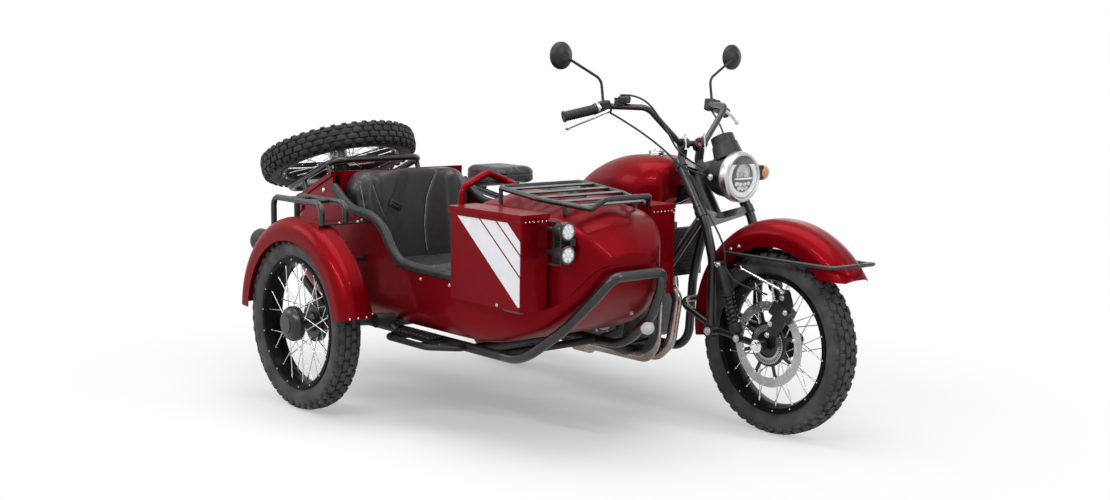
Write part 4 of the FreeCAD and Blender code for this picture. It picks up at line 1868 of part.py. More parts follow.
def sidecar_chassis():
    """Two rails, three cross tubes and four struts that hold the sidecar to the motorcycle."""
    parts = []
    for side in (-1, 1):
        rail = [point(rail_front_x, rail_y * side, rail_z), point(rail_rear_x, rail_y * side, rail_z),
                point(hull_rear_x + bumper_radius * 2, rail_y * side, hull_low_z + bumper_radius * 4)]
        parts.append(tube(rail, bumper_radius, bumper_radius * 5))
    for x in (rail_rear_x + bumper_radius * 2, side_shock_x, step_x + step_length,
              rail_front_x - bumper_radius * 2):
        parts.append(rod(point(x, -rail_y, rail_z), point(x, rail_y, rail_z), bumper_radius * 0.8))
    boss_in, boss_out = side_arm_y + arm_radius * 3, side_arm_y + arm_radius + running_gap
    parts.append(rod(point(side_pivot_x - bumper_radius * 8, -rail_y, rail_z),
                     point(side_pivot_x, boss_in, side_pivot_z), bumper_radius * 0.8))
    parts.append(rod(point(side_pivot_x, boss_in + arm_radius * 0.6, side_pivot_z),
                     point(side_pivot_x, boss_out, side_pivot_z), bumper_radius * 1.3))
    seat_y = -float(cradle_y + frame_radius + running_gap) - float(sidecar_y)
    for x_rail, x_bike in ((rail_front_x - bumper_radius * 3, cradle_front_x - frame_radius * 6),
                           (side_shock_x, cradle_rear_x + frame_radius * 7)):
        end = V(float(x_bike), seat_y, float(cradle_z))
        near = end - V(0, float(strut_radius) * 2, 0)
        parts.append(tube([point(x_rail, rail_y, rail_z), near, end], strut_radius, strut_radius * 2))
    return parts


def upper_struts():
    """The two high struts, from the chassis rail up past the hull to the motorcycle's frame."""
    centre = float(sidecar_y)
    parts = []
    gap = float(hull_half + strut_radius + side_gap * 6)
    ends = ((side_shock_x - bumper_radius * 5, seat_rail_z + frame_radius * 0.5,
             seat_rail_y + frame_radius * 0.8),
            (cradle_front_x + frame_radius * 0.85, shoulder_z - bumper_radius * 3, cradle_y + frame_radius))
    for x, z_bike, y_bike in ends:
        end = V(float(x), -float(y_bike + running_gap) - centre, float(z_bike))
        start = V(float(x), float(rail_y), float(rail_z))
        knee = V(float(x), gap, float(rail_z + strut_radius))
        high = V(float(x), gap + float(strut_radius), float(z_bike - strut_radius * 2))
        near = end - V(0, float(strut_radius) * 2, 0)
        bends = [strut_radius * 1.5, strut_radius * 2, strut_radius * 1.5]
        parts.append(tube([start, knee, high, near, end], strut_radius, bends))
    return parts


def sidecar_suspension():
    """Trailing arm with the axle stub, and a coil-over shock on its inner side."""
    y = side_arm_y
    axle = point(sidecar_wheel_x, y, tyre_radius)
    arm = tube([axle, point((sidecar_wheel_x + side_pivot_x) / 2, y, tyre_radius + arm_radius),
                point(side_pivot_x, y, side_pivot_z)], arm_radius, frame_bend * 2)
    wheel_y = float(sidecar_wheel_y - sidecar_y)
    stub = rod(axle, V(axle.x, wheel_y - float(hub_flange_half), axle.z), axle_radius)
    boss = rod(axle + V(0, float(arm_radius) * 1.2, 0), axle - V(0, float(arm_radius) * 1.2, 0),
               arm_radius * 1.5)
    eye = rod(point(side_pivot_x, y - arm_radius, side_pivot_z),
              point(side_pivot_x, y + arm_radius, side_pivot_z), arm_radius * 1.5)
    shock_y = y + arm_radius * 1.2 + rear_shock_radius
    low, high = point(side_shock_x, shock_y, tyre_radius + arm_radius * 0.8), point(side_shock_x,
                                                                                    shock_y, side_shock_z)
    r = rear_shock_radius
    coils = [(0.28 + 0.03 * i, r if i % 2 else r * 0.78) for i in range(16)]
    shock = turned(low, high, [(0.0, r * 0.5), (0.1, r * 0.5), (0.12, r),
                               (0.27, r)] + coils + [(0.82, r * 0.6), (1.0, r * 0.5)])
    pin = rod(low, V(low.x, float(y), low.z), axle_radius)
    tower = rod(high - V(0, 0, float(axle_radius)), V(high.x, -float(hull_half) - float(running_gap),
                                                      high.z - float(axle_radius)), axle_radius)
    return seat(shape_object("sidecar_suspension", union([arm, stub, boss, eye, shock, pin, tower])),
                "sidecar_suspension", NONE, sidecar_y, NONE)


def sidecar_fender():
    """Fender of the sidecar wheel with the flat bracket that ties it to the body."""
    arc = fender_arc("sidecar_fender", side_fender_radius, fender_half, side_skirt, side_fender_sweep, 0.75)
    return seat(arc, "sidecar_fender", sidecar_wheel_x, sidecar_wheel_y, tyre_radius,
                start_turn(side_fender_low))


fender_rail_spread = size("fender_rail_spread", 98, "from the rail's outer run to its inner run")
fender_rail_radius = size("fender_rail_radius", 11, "grab rail on the sidecar fender")
fender_rail_z = size("fender_rail_z", 766, "grab rail on the sidecar fender, height")
fender_rail_front_x = size("fender_rail_front_x", 341, "front of that rail")
fender_rail_rear_x = size("fender_rail_rear_x", 2, "rear of that rail")


def fender_top(x):
    """Height of the sidecar fender's crown at a place along it."""
    ahead = float(x) - float(sidecar_wheel_x)
    return float(tyre_radius) + math.sqrt(float(side_fender_radius) ** 2 - ahead ** 2)


def fender_rail():
    """Two runs of tube over the fender, the inner one on two flat bars that reach across to the body."""
    y = float(sidecar_wheel_y)
    outer = y - float(fender_half) * 0.1
    inner = outer + float(fender_rail_spread)
    front, rear, top = float(fender_rail_front_x), float(fender_rail_rear_x), float(fender_rail_z)
    width, thick = float(fender_rail_radius) * 2, float(fender_wall) * 1.5
    bar_in = float(sidecar_y) - float(hull_half) - float(running_gap)

    def foot(x, reach=float(fender_rail_radius)):
        return max(fender_top(x - reach), fender_top(x + reach)) + float(running_gap)
    parts = []
    for across in (outer, inner):
        path = [V(rear, across, foot(rear)), V(rear, across, top), V(front, across, top),
                V(front, across, foot(front))]
        parts.append(tube(path, fender_rail_radius, fender_rail_radius * 3))
    for x in (front, rear):
        parts.append(Part.makeBox(width, bar_in - y, thick, V(x - width / 2, y, foot(x))))
    for share in (0.3, 0.7):
        x = rear + (front - rear) * share
        parts.append(rod(V(x, outer, top), V(x, inner, top), fender_rail_radius * 0.8))
    return seat(shape_object("fender_rail", union(parts)), "fender_rail")


spot_radius = size("spot_radius", 29, "spot lamp")
spot_x = size("spot_x", 1370, "front of the spot lamps")
spot_y = size("spot_y", -240, "spot lamps, from the sidecar's middle")
spot_high_z = size("spot_high_z", 753, "upper spot lamp, height")
spot_low_z = size("spot_low_z", 678, "lower spot lamp, height")
spot_depth = size("spot_depth", 54, "spot lamp, front to back")
guard_wire = size("guard_wire", 2.6, "wire guard round the spot lamps")


def spot_lamps():
    """Two round lamps on one bracket with a wire guard on the outer side."""
    parts = []
    box_front = cowl_rear_x + box_length + box_rim + running_gap * 10
    for z in (spot_high_z, spot_low_z):
        rear = point(spot_x - spot_depth, spot_y, z)
        front = point(spot_x, spot_y, z)
        parts.append(turned(rear, front, [(0.0, spot_radius * 0.7), (0.3, spot_radius * 0.95),
                                          (0.75, spot_radius), (0.9, spot_radius), (1.0,
                                                                                    spot_radius * 0.86)]))
    plate_z = spot_low_z - spot_radius
    post = Part.makeBox(float(bar_radius), float(bar_radius) * 2,
                        float(spot_high_z - spot_low_z + spot_radius * 2), point(spot_x - spot_depth - bar_radius * 0.6, spot_y - bar_radius, plate_z))
    parts.append(post)
    for z in (spot_high_z, spot_low_z):
        parts.append(rod(point(box_front, spot_y, z), point(spot_x - spot_depth, spot_y, z),
                         bar_radius * 0.7))
    out = spot_y - spot_radius * 1.35
    rail = tube([point(spot_x - spot_depth, spot_y, spot_high_z + spot_radius),
                 point(spot_x - spot_depth, out,
                       spot_high_z + spot_radius * 1.1), point(spot_x + spot_radius * 0.4, out,
                                                               spot_high_z + spot_radius * 1.1),
                 point(spot_x + spot_radius * 0.4, out,
                       spot_low_z - spot_radius), point(spot_x - spot_depth, out,
                                                        spot_low_z - spot_radius), point(spot_x - spot_depth, spot_y, spot_low_z - spot_radius * 0.9)], guard_wire, guard_wire * 4)
    parts.append(rail)
    block = Part.makeBox(float(bar_radius) * 2, float(bar_radius) * 2, float(bar_radius) * 2,
                         point(spot_x - spot_depth * 0.6, spot_y + spot_radius * 0.7,
                               (spot_high_z + spot_low_z) / 2 - bar_radius))
    parts.append(block)
    parts.append(rod(point(spot_x - spot_depth + bar_radius * 0.2, spot_y,
                           (spot_high_z + spot_low_z) / 2), point(spot_x - spot_depth * 0.55,
                                                                  spot_y + spot_radius * 0.8, (spot_high_z + spot_low_z) / 2), bar_radius * 0.5))
    return seat(shape_object("spot_lamps", union(parts)), "spot_lamps", NONE, sidecar_y, NONE)


side_lamp_x = size("side_lamp_x", -352, "rear of the sidecar's lamp")
side_lamp_y = size("side_lamp_y", -372, "sidecar's rear lamp, from the sidecar's middle")
side_lamp_z = size("side_lamp_z", 556, "sidecar's rear lamp, height")


def sidecar_rear_lamp():
    front = point(side_lamp_x + tail_radius * 1.5, side_lamp_y, side_lamp_z)
    lamp = turned(front, point(side_lamp_x, side_lamp_y, side_lamp_z),
                  [(0.0, tail_radius * 0.7), (0.25, tail_radius), (0.85, tail_radius),
                   (1.0, tail_radius * 0.75)])
    root = point(hull_rear_x + hull_wall, -hull_half * 0.85, side_lamp_z)
    stalk = rod(front + V(-float(tail_radius) * 0.3, 0, 0), root + V(-float(hull_wall) * 1.6, 0, 0),
                bar_radius)
    return seat(shape_object("sidecar_rear_lamp", union([lamp, stalk])), "sidecar_rear_lamp", NONE,
                sidecar_y, NONE)


def lid_slab(name, out, depth, edge):
    """A slab under the lid's plane, trimmed to the hull's outline and a little more."""
    body = new_body(name)
    drawn = sketch(body, "XZ_Plane")
    front, rear = lid_front_x - side_gap * 6, hull_rear_x - hull_wall * 2
    drop_front, drop_rear = (lid_front_x - front) * slope_run, (lid_front_x - rear) * slope_run
    square = 1 / math.cos(math.radians(float(deck_slope)))
    top = lid_front_z - edge * square
    outline(drawn, [(front, top - drop_front), (front, top - drop_front - depth * square),
                    (rear, top - drop_rear - depth * square), (rear, top - drop_rear)])
    pad(body, drawn, hull_half * 2.2, middle=True)
    trimmed(body, hull_ring(out * -1), lid_front_z)
    return body


def trunk_lid():
    """Sloping lid over the trunk, cut to the hull's outline, with a turned-down lip round the rear."""
    slab = lid_slab("lid_sheet", lid_out, lid_thick, NONE)
    skirt = lid_slab("lid_skirt", lid_out, lid_thick * 3.2, lid_thick * 0.5)
    inner = lid_slab("lid_inside", lid_out - lid_lip, lid_thick * 4, lid_thick)
    doc.recompute()
    lip_end = float(along_hull(0.07))
    wide = float(hull_half) * 2
    keep = Part.makeBox(wide, 2 * wide, float(lid_front_z), V(lip_end - wide, -wide, 0))
    lip = shape_object("lid_lip", skirt.Shape.cut(inner.Shape).common(keep))
    return seat(fused("lid_whole", [slab, lip]), "trunk_lid", NONE, sidecar_y, NONE)


carrier_radius = size("carrier_radius", 13, "tube of the spare wheel carrier")
carrier_half = size("carrier_half", 208, "half the width of the carrier")
carrier_height = size("carrier_height", 78, "carrier above the lid")
carrier_front = size("carrier_front", 125, "front of the carrier, down the slope from the hinge")
carrier_length = size("carrier_length", 385, "carrier along the slope")


post_inset = size("post_inset", 42, "from the ends of the deck to the carrier's posts")
post_foot = size("post_foot", 6, "foot plate of a carrier post")
cross_bar_width = size("cross_bar_width", 60, "flat bar under the spare wheel's hub")
cross_bar_thick = size("cross_bar_thick", 8, "flat bar under the spare wheel's hub, thickness")


def spare_carrier():
    """Tube frame parallel to the lid, on four posts, with a cross bar and a stud for the wheel."""
    def on_deck(down, y, above):
        return V(-float(down), float(y), float(above))
    front, rear = float(carrier_front), float(carrier_front + carrier_length)
    half, up, foot = float(carrier_half), float(carrier_height), float(running_gap)
    path = [on_deck(rear, 0, up), on_deck(rear, -half, up), on_deck(front, -half, up),
            on_deck(front, half, up), on_deck(rear, half, up), on_deck(rear, 0, up)]
    parts = [tube(path, carrier_radius, carrier_radius * 4)]
    deck_end = float(lid_front_x - hull_rear_x) / math.cos(math.radians(float(deck_slope)))
    for side in (-1, 1):
        for down in (front + float(post_inset), deck_end - float(post_inset)):
            parts.append(rod(on_deck(down, half * side, foot), on_deck(down, half * side, up),
                             carrier_radius * 0.8))
            parts.append(rod(on_deck(down, half * side, foot),
                             on_deck(down, half * side, foot + float(post_foot)), carrier_radius * 1.8))
    ahead = V(float(spare_x - lid_front_x), 0, float(spare_z - lid_front_z))
    tilt = math.radians(float(deck_slope))
    wheel_down = -(ahead.x * math.cos(tilt) + ahead.z * math.sin(tilt))
    wheel_up = -ahead.x * math.sin(tilt) + ahead.z * math.cos(tilt)
    hub_face = wheel_up - float(hub_half) - float(running_gap)
    parts.append(Part.makeBox(float(cross_bar_width), 2 * half, float(cross_bar_thick),
                              on_deck(wheel_down + float(cross_bar_width) / 2, -half,
                                      up - float(cross_bar_thick) / 2)))
    parts.append(rod(on_deck(wheel_down, 0, up), on_deck(wheel_down, 0, hub_face), hub_radius * 0.9))
    parts.append(rod(on_deck(wheel_down, 0, hub_face - float(edge_margin)),
                     on_deck(wheel_down, 0, wheel_up + float(hub_half + post_foot * 3)), axle_radius))
    parts.append(rod(on_deck(wheel_down, 0, wheel_up + float(hub_half + running_gap)),
                     on_deck(wheel_down, 0, wheel_up + float(hub_half + post_foot * 2)), nut_radius))
    whole = union(parts)
    whole.Placement = FreeCAD.Placement(point(lid_front_x, NONE, lid_front_z),
                                        FreeCAD.Rotation(V(0, 1, 0), -float(deck_slope)))
    carried = shape_object("spare_carrier", whole.copy())
    holder = copied("spare_carrier", carried)
    return seat(holder, "spare_carrier", NONE, sidecar_y, NONE)


sidecar_tub()
nose = sidecar_nose()
for side, label in ((-1, "near_toolbox"), (1, "far_toolbox")):
    toolbox(side, label)
    toolbox_lid(side, label + "_lid")
for make in (cockpit_edging, seat_back, seat_cushion, grab_handle, bumper, step, sidecar_suspension,
             sidecar_fender, fender_rail,
             spot_lamps, sidecar_rear_lamp, trunk_lid, spare_carrier):
    make()
doc.recompute()
rack_parts, rack_level = luggage_rack()
nose_here = nose.Shape.copy()
nose_here.Placement = FreeCAD.Placement()
seat(shape_object("luggage_rack", union(rack_parts + rack_feet(rack_level, nose_here))), "luggage_rack",
     NONE, sidecar_y, NONE)
seat(shape_object("sidecar_chassis", union(sidecar_chassis() + upper_struts())), "sidecar_chassis",
     NONE, sidecar_y, NONE)

doc.recompute()
for obj in doc.Objects:
    if "Invalid" in obj.State or "Error" in obj.State:
        raise RuntimeError(f"{obj.Name} {obj.Label} could not be built: {obj.State}")
for obj in sub_parts:
    if obj.Shape.isNull() or not obj.Shape.isValid():
        raise RuntimeError(f"{obj.Label} has no valid shape")

os.makedirs("parts", exist_ok=True)
for obj in sub_parts:
    obj.Shape.exportStep(f"parts/{obj.Label}.step")
    print(obj.Label, len(obj.Shape.Solids), round(obj.Shape.Volume / 1000))
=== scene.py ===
import math

import bmesh
import bpy
from mathutils import Matrix, Quaternion, Vector


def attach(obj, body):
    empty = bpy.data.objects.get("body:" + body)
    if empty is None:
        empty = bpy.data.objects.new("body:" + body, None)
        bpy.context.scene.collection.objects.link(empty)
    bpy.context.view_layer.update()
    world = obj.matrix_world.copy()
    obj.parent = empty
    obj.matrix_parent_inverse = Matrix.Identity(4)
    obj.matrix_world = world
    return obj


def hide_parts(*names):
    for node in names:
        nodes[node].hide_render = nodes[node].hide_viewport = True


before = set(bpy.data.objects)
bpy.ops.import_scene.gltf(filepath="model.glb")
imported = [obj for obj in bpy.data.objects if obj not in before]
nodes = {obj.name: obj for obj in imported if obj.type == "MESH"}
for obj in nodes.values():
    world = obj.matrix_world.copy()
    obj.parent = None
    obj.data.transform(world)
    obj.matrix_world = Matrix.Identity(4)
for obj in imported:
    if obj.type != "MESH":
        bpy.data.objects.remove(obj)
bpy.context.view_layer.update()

# The vehicle is drawn in millimetres from the ground under the rear axle: x ahead, y to the left, z up.
AHEAD_SHIFT, LEFT_SHIFT = -609.4, 353.0
SIDECAR_MIDDLE = -611.0
AXLE_HEIGHT = 320.0
FRONT_AXLE, SIDECAR_AXLE, TRACK = 1510.0, 205.0, 1112.0
AHEAD, UP, NEAR = Vector((1, 0, 0)), Vector((0, 0, 1)), Vector((0, -1, 0))
BACK, FAR = -AHEAD, -NEAR
SIDES = ((-1, "near", NEAR), (1, "far", FAR))


def at(x, y, z):
    """A place on the vehicle, in the frame's metres."""
    return Vector(((x + AHEAD_SHIFT) / 1000, (y + LEFT_SHIFT) / 1000, z / 1000))


# Work by hand: one thing at a time is picked up
def put_down():
    if bpy.context.object and bpy.context.object.mode != "OBJECT":
        bpy.ops.object.mode_set(mode="OBJECT")
    bpy.ops.object.select_all(action="DESELECT")


def pick(*things):
    put_down()
    for thing in things:
        thing.select_set(True)
    bpy.context.view_layer.objects.active = things[0]
    return things[0]


def edit(thing):
    pick(thing)
    bpy.ops.object.mode_set(mode="EDIT")
    bpy.ops.mesh.select_all(action="SELECT")


def leave_edit():
    bpy.ops.object.mode_set(mode="OBJECT")


def choose(thing, test):
    """Selects the faces of the thing in hand whose middle passes the test."""
    form = bmesh.from_edit_mesh(thing.data)
    form.select_mode = {"FACE"}
    for part in (*form.verts, *form.edges, *form.faces):
        part.select_set(False)
    for face in form.faces:
        if test(face.calc_center_median()):
            face.select_set(True)
    form.select_flush_mode()
    bmesh.update_edit_mesh(thing.data)


def outward(thing, merge=0.00002):
    edit(thing)
    bpy.ops.mesh.remove_doubles(threshold=merge)
    bpy.ops.mesh.select_all(action="SELECT")
    bpy.ops.mesh.normals_make_consistent(inside=False)
    leave_edit()
    return thing


def smooth(thing, angle):
    pick(thing)
    bpy.ops.object.shade_smooth_by_angle(angle=math.radians(angle))
    return thing


def settle(thing):
    pick(thing)
    bpy.ops.object.transform_apply(location=True, rotation=True, scale=True)
    return thing


def apply_all(thing):
    pick(thing)
    for modifier in list(thing.modifiers):
        bpy.ops.object.modifier_apply(modifier=modifier.name)
    return thing


def rounded(thing, width, segments=2):
    bevel = thing.modifiers.new("edges", "BEVEL")
    bevel.width, bevel.segments, bevel.limit_method = width, segments, "ANGLE"
    bevel.angle_limit = math.radians(30)
    return apply_all(thing)


def joined(things):
    pick(*things)
    if len(things) > 1:
        bpy.ops.object.join()
    return things[0]


def cut_off(thing, place, facing, fill=True):
    """Cuts away what lies beyond a flat place."""
    edit(thing)
    bpy.ops.mesh.bisect(plane_co=place, plane_no=facing, use_fill=fill, clear_outer=True)
    leave_edit()


def copied(thing):
    twin = thing.copy()
    twin.data = thing.data.copy()
    bpy.context.collection.objects.link(twin)
    return twin


def placed(thing, matrix):
    """A copy of a model, carried to its place."""
    twin = copied(thing)
    twin.data.transform(matrix)
    return twin


def made_of(name, data):
    """A new object of a curve, a light or a camera."""
    thing = bpy.data.objects.new(name, data)
    bpy.context.collection.objects.link(thing)
    return thing


def frame_at(place, facing, turn=0.0):
    """Where a model stands: its foot at the place, its own z along the facing direction."""
    aim = Vector(facing).to_track_quat("Z", "Y") @ Quaternion((0, 0, 1), math.radians(turn))
    return Matrix.Translation(place) @ aim.to_matrix().to_4x4()


def stood(thing, place, facing, turn=0.0):
    """Carries a model itself to where it stands."""
    thing.data.transform(frame_at(place, facing, turn))
    return thing


def shifted(thing, *step):
    """Moves a model by a step in millimetres."""
    thing.data.transform(Matrix.Translation(Vector(step) / 1000))
    return thing


def drop(*models):
    """Removes models whose copies are in place."""
    for model in models:
        bpy.data.objects.remove(model)


def dress(thing, finish):
    thing.data.materials.clear()
    thing.data.materials.append(finish)


def piece(thing, name, body, finish, slot="usual", replaced=()):
    """Names a piece, dresses it, gives it its body and hides the parts it replaces."""
    thing.name = name
    thing.data.name = name
    dress(thing, finish)
    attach(thing, body)
    slot = USUAL_SLOTS.get(finish) if slot == "usual" else slot
    if replaced:
        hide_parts(*replaced)
    return thing


def round_spot(radius, turn, height=0):
    """A spot at a radius and an angle about z, in millimetres."""
    return Vector((radius * math.cos(turn), radius * math.sin(turn), height)) / 1000


def turned(stations, sides, ring=False):
    """A turned form about z: a circle drawn out station by station, (radius, height) in millimetres."""
    put_down()
    radius, height = stations[0]
    bpy.ops.mesh.primitive_circle_add(vertices=sides, radius=radius / 1000, location=(0, 0, height / 1000),
                                      fill_type="NOTHING" if ring else "NGON")
    thing = settle(bpy.context.object)
    edit(thing)
    if not ring:
        bpy.ops.mesh.select_mode(type="FACE")
        bpy.ops.mesh.select_all(action="SELECT")
    extrude = bpy.ops.mesh.extrude_edges_move if ring else bpy.ops.mesh.extrude_region_move
    for (radius, height), (wider, higher) in zip(stations, stations[1:] + stations[:1] * ring):
        extrude(TRANSFORM_OT_translate={"value": (0, 0, (higher - height) / 1000)})
        share = wider / radius
        bpy.ops.transform.resize(value=(share, share, 1), center_override=(0, 0, 0))
    leave_edit()
    return outward(thing)


def lathe(stations, sides, angle, ring=False):
    """A turned form with its edges softer than the angle shaded smooth."""
    return smooth(turned(stations, sides, ring), angle)


def bar(start, end, radius, sides=12, taper=1.0):
    """A straight round bar between two places, its radius in millimetres."""
    put_down()
    along = end - start
    bpy.ops.mesh.primitive_cone_add(vertices=sides, radius1=radius / 1000, radius2=radius * taper / 1000,
                                    depth=along.length)
    return stood(bpy.context.object, (start + end) / 2, along)


def block(size, place=(0, 0, 0), edge=0.0, segments=2):
    """A squared block with eased edges, sizes in millimetres."""
    put_down()
    bpy.ops.mesh.primitive_cube_add(size=0.001, location=Vector(place) / 1000)
    thing = bpy.context.object
    thing.scale = size
    settle(thing)
    return rounded(thing, edge / 1000, segments) if edge else thing


def round_the_axle(thing, count):
    """Repeats a model all round the z axis."""
    edit(thing)
    share = 2 * math.pi / count
    bpy.ops.mesh.spin(steps=count - 1, dupli=True, angle=share * (count - 1), center=(0, 0, 0), axis=(0, 0, 1))
    leave_edit()
    return thing


def wire(name, points, radius):
    """A bent wire or cable along a smooth line, radius in millimetres."""
    line = bpy.data.curves.new(name, "CURVE")
    line.dimensions = "3D"
    spline = line.splines.new("NURBS")
    spline.points.add(len(points) - 1)
    for spot, place in zip(spline.points, points):
        spot.co = (*place, 1)
    spline.order_u = 3
    spline.use_endpoint_u = True
    spline.resolution_u = 6
    line.bevel_depth = radius / 1000
    line.bevel_resolution = 3
    line.use_fill_caps = True
    pick(made_of(name, line))
    bpy.ops.object.convert(target="MESH")
    return smooth(bpy.context.object, 60)


# Finishes
def feed(node, inputs):
    """Gives each input a value or another node's socket."""
    for socket, value in inputs.items():
        if isinstance(value, bpy.types.NodeSocket):
            node.id_data.links.new(value, node.inputs[socket])
        else:
            node.inputs[socket].default_value = value
    return node


def add_node(tree, kind, inputs, **settings):
    node = tree.nodes.new("ShaderNode" + kind)
    for name, value in settings.items():
        setattr(node, name, value)
    return feed(node, inputs)


class Finish:
    """One surface finish, worked up node by node."""

    def __init__(self, name, colour, rough, metal=0.0, coat=0.0, coat_rough=0.03, specular=0.5, clear=0.0,
                 glow=0.0):
        self.material = bpy.data.materials.new(name)
        self.material.use_nodes = True
        self.tree = self.material.node_tree
        self.shader = self.tree.nodes["Principled BSDF"]
        feed(self.shader, {"Base Color": (*colour, 1), "Roughness": rough, "Metallic": metal,
                           "Coat Weight": coat, "Coat Roughness": coat_rough,
                           "Specular IOR Level": specular, "Transmission Weight": clear})
        if glow:
            feed(self.shader, {"Emission Color": (*colour, 1), "Emission Strength": glow})
        self.place = self.tree.nodes.new("ShaderNodeTexCoord").outputs["Object"]
        self.height = None

    def noise(self, scale, detail=4.0, stretch=(1, 1, 1)):
        """Cloudy noise on the object, scale in clouds a metre."""
        mapping = add_node(self.tree, "Mapping", {"Vector": self.place, "Scale": stretch})
        clouds = {"Vector": mapping.outputs["Vector"], "Scale": scale, "Detail": detail}
        return add_node(self.tree, "TexNoise", clouds).outputs["Fac"]

    def cells(self, scale):
        """The distance from the walls of a net of cells, scale in cells a metre."""
        inputs = {"Vector": self.place, "Scale": scale}
        return add_node(self.tree, "TexVoronoi", inputs, feature="DISTANCE_TO_EDGE").outputs["Distance"]

    def colours(self, source, dark, light, start=0.35, end=0.65):
        """Colour from dark to light as the source goes from start to end."""
        ramp = add_node(self.tree, "ValToRGB", {"Fac": source})
        for stop, place, colour in zip(ramp.color_ramp.elements, (start, end), (dark, light)):
            stop.position, stop.color = place, (*colour, 1)
        feed(self.shader, {"Base Color": ramp.outputs["Color"]})
        return self

    def shine(self, source, low, high):
        """Roughness from low to high over the middle of the source."""
        inputs = {"Value": source, "From Min": 0.35, "From Max": 0.65, "To Min": low, "To Max": high}
        feed(self.shader, {"Roughness": add_node(self.tree, "MapRange", inputs).outputs["Result"]})
        return self

    def relief(self, source, strength, depth):
        """Adds fine relief, depth in millimetres."""
        inputs = {"Strength": strength, "Distance": depth / 1000, "Height": source}
        if self.height:
            inputs["Normal"] = self.height
        self.height = add_node(self.tree, "Bump", inputs).outputs["Normal"]
        feed(self.shader, {"Normal": self.height})
        return self


def shade(colour, share):
    return tuple(min(1.0, part * share) for part in colour)


def gloss_paint(name, colour, flake):
    finish = Finish(name, colour, 0.36, metal=flake, coat=0.11, coat_rough=0.04, specular=0.03)
    feed(finish.shader, {"Coat IOR": 1.34})
    finish.colours(finish.noise(900, 1), shade(colour, 0.8), shade(colour, 1.2))
    finish.shine(finish.noise(6), 0.36, 0.45)
    return finish.relief(finish.noise(160, 2), 0.05, 0.15).material


def satin_paint(name, colour, rough=0.35, coat=0.4):
    finish = Finish(name, colour, rough, coat=coat, coat_rough=0.25, specular=0.35)
    finish.colours(finish.noise(14), shade(colour, 0.75), shade(colour, 1.35))
    finish.shine(finish.noise(30), rough - 0.07, rough + 0.09)
    return finish.relief(finish.noise(700, 3), 0.12, 0.12).material


def bare_metal(name, colour, rough, scratch=0.05, cast=0.0, heat=None):
    """Metal with fine scratches; heat gives the scale and the tints of its bands."""
    finish = Finish(name, colour, rough, metal=1.0)
    scale, *tints = heat or (22, shade(colour, 0.85), shade(colour, 1.08))
    finish.colours(finish.noise(scale), *tints)
    finish.shine(finish.noise(55, 6), rough * 0.8, rough * 1.35)
    if cast:
        finish.relief(finish.noise(420, 6), cast, 0.4)
    return finish.relief(finish.noise(1600, 2, (1, 1, 8)), scratch, 0.05).material


def rubber(name, colour, rough=0.72, scale=60):
    finish = Finish(name, colour, rough, specular=0.35)
    finish.colours(finish.noise(scale / 4), shade(colour, 0.7), shade(colour, 1.5))
    finish.shine(finish.noise(scale), rough - 0.1, rough + 0.12)
    return finish.relief(finish.noise(scale * 16, 4), 0.18, 0.3).material


def leather(name, colour):
    finish = Finish(name, colour, 0.42, coat=0.2, coat_rough=0.3, specular=0.38)
    finish.colours(finish.noise(11), shade(colour, 0.7), shade(colour, 1.4))
    finish.shine(finish.noise(40), 0.36, 0.52)
    finish.relief(finish.cells(420), 0.28, 0.25)
    return finish.relief(finish.noise(60, 5), 0.12, 0.7).material


red_gloss = gloss_paint("deep_red_gloss", (0.188, 0.0007, 0.0042), 0.5)
white_vinyl = Finish("white_stripe", (0.80, 0.80, 0.83), 0.35, coat=0.4, specular=0.3)
white_vinyl.colours(white_vinyl.noise(25), (0.78, 0.78, 0.81), (0.82, 0.82, 0.85))
white_vinyl = white_vinyl.shine(white_vinyl.noise(60), 0.3, 0.4).material
black_gloss = gloss_paint("black_gloss", (0.006, 0.006, 0.0065), 0.0)
black_satin = satin_paint("black_satin", (0.0065, 0.0065, 0.007))
black_powder = satin_paint("black_powder_coat", (0.009, 0.009, 0.0095), 0.5, 0.05)
black_plastic = satin_paint("moulded_black", (0.010, 0.010, 0.0105), 0.45, 0.0)
tread_rubber = rubber("tyre_rubber", (0.052, 0.049, 0.051))
# The spare's rubber is a darker copy of the tyre rubber: painted shade for the spare, which sits in shade
spare_rubber_painted_shade = rubber("spare_tyre_rubber", (0.020, 0.019, 0.019))
soft_rubber = rubber("soft_rubber", (0.011, 0.011, 0.0115), 0.5, 90)
black_leather = leather("black_leather", (0.0115, 0.0105, 0.011))
bright_plate = bare_metal("bright_plating", (0.80, 0.80, 0.81), 0.10)
spoke_steel = bare_metal("spoke_steel", (0.74, 0.74, 0.75), 0.2)
cast_alloy = bare_metal("cast_alloy", (0.42, 0.42, 0.43), 0.42, 0.1, 0.5)
dark_alloy = bare_metal("dark_engine_case", (0.10, 0.10, 0.105), 0.45, 0.1, 0.5)
brushed_steel = bare_metal("brushed_disc", (0.52, 0.52, 0.53), 0.3, 0.25)
heated_pipe = bare_metal("heat_tinted_pipe", (0.40, 0.34, 0.30), 0.26, 0.1,
                         heat=(9, (0.29, 0.20, 0.14), (0.46, 0.42, 0.40), 0.3, 0.7))
zinc_bolt = bare_metal("zinc_bolt", (0.60, 0.60, 0.61), 0.3)
red_lens = Finish("red_lens", (0.45, 0.008, 0.010), 0.12, coat=1.0, clear=0.2).material
clear_glass = Finish("clear_glass", (0.95, 0.96, 0.97), 0.03, coat=0.5, clear=1.0).material
amber_glow = Finish("lamp_orange", (0.80, 0.33, 0.10), 0.2, coat=0.6, clear=0.1).material
halo_white = Finish("halo_white", (0.82, 0.83, 0.84), 0.25, coat=0.5, glow=0.25).material
mirror_glass = Finish("mirror_glass", (0.75, 0.77, 0.78), 0.03, metal=1.0).material
stitch_thread = rubber("grey_thread", (0.26, 0.26, 0.26), 0.6, 400)
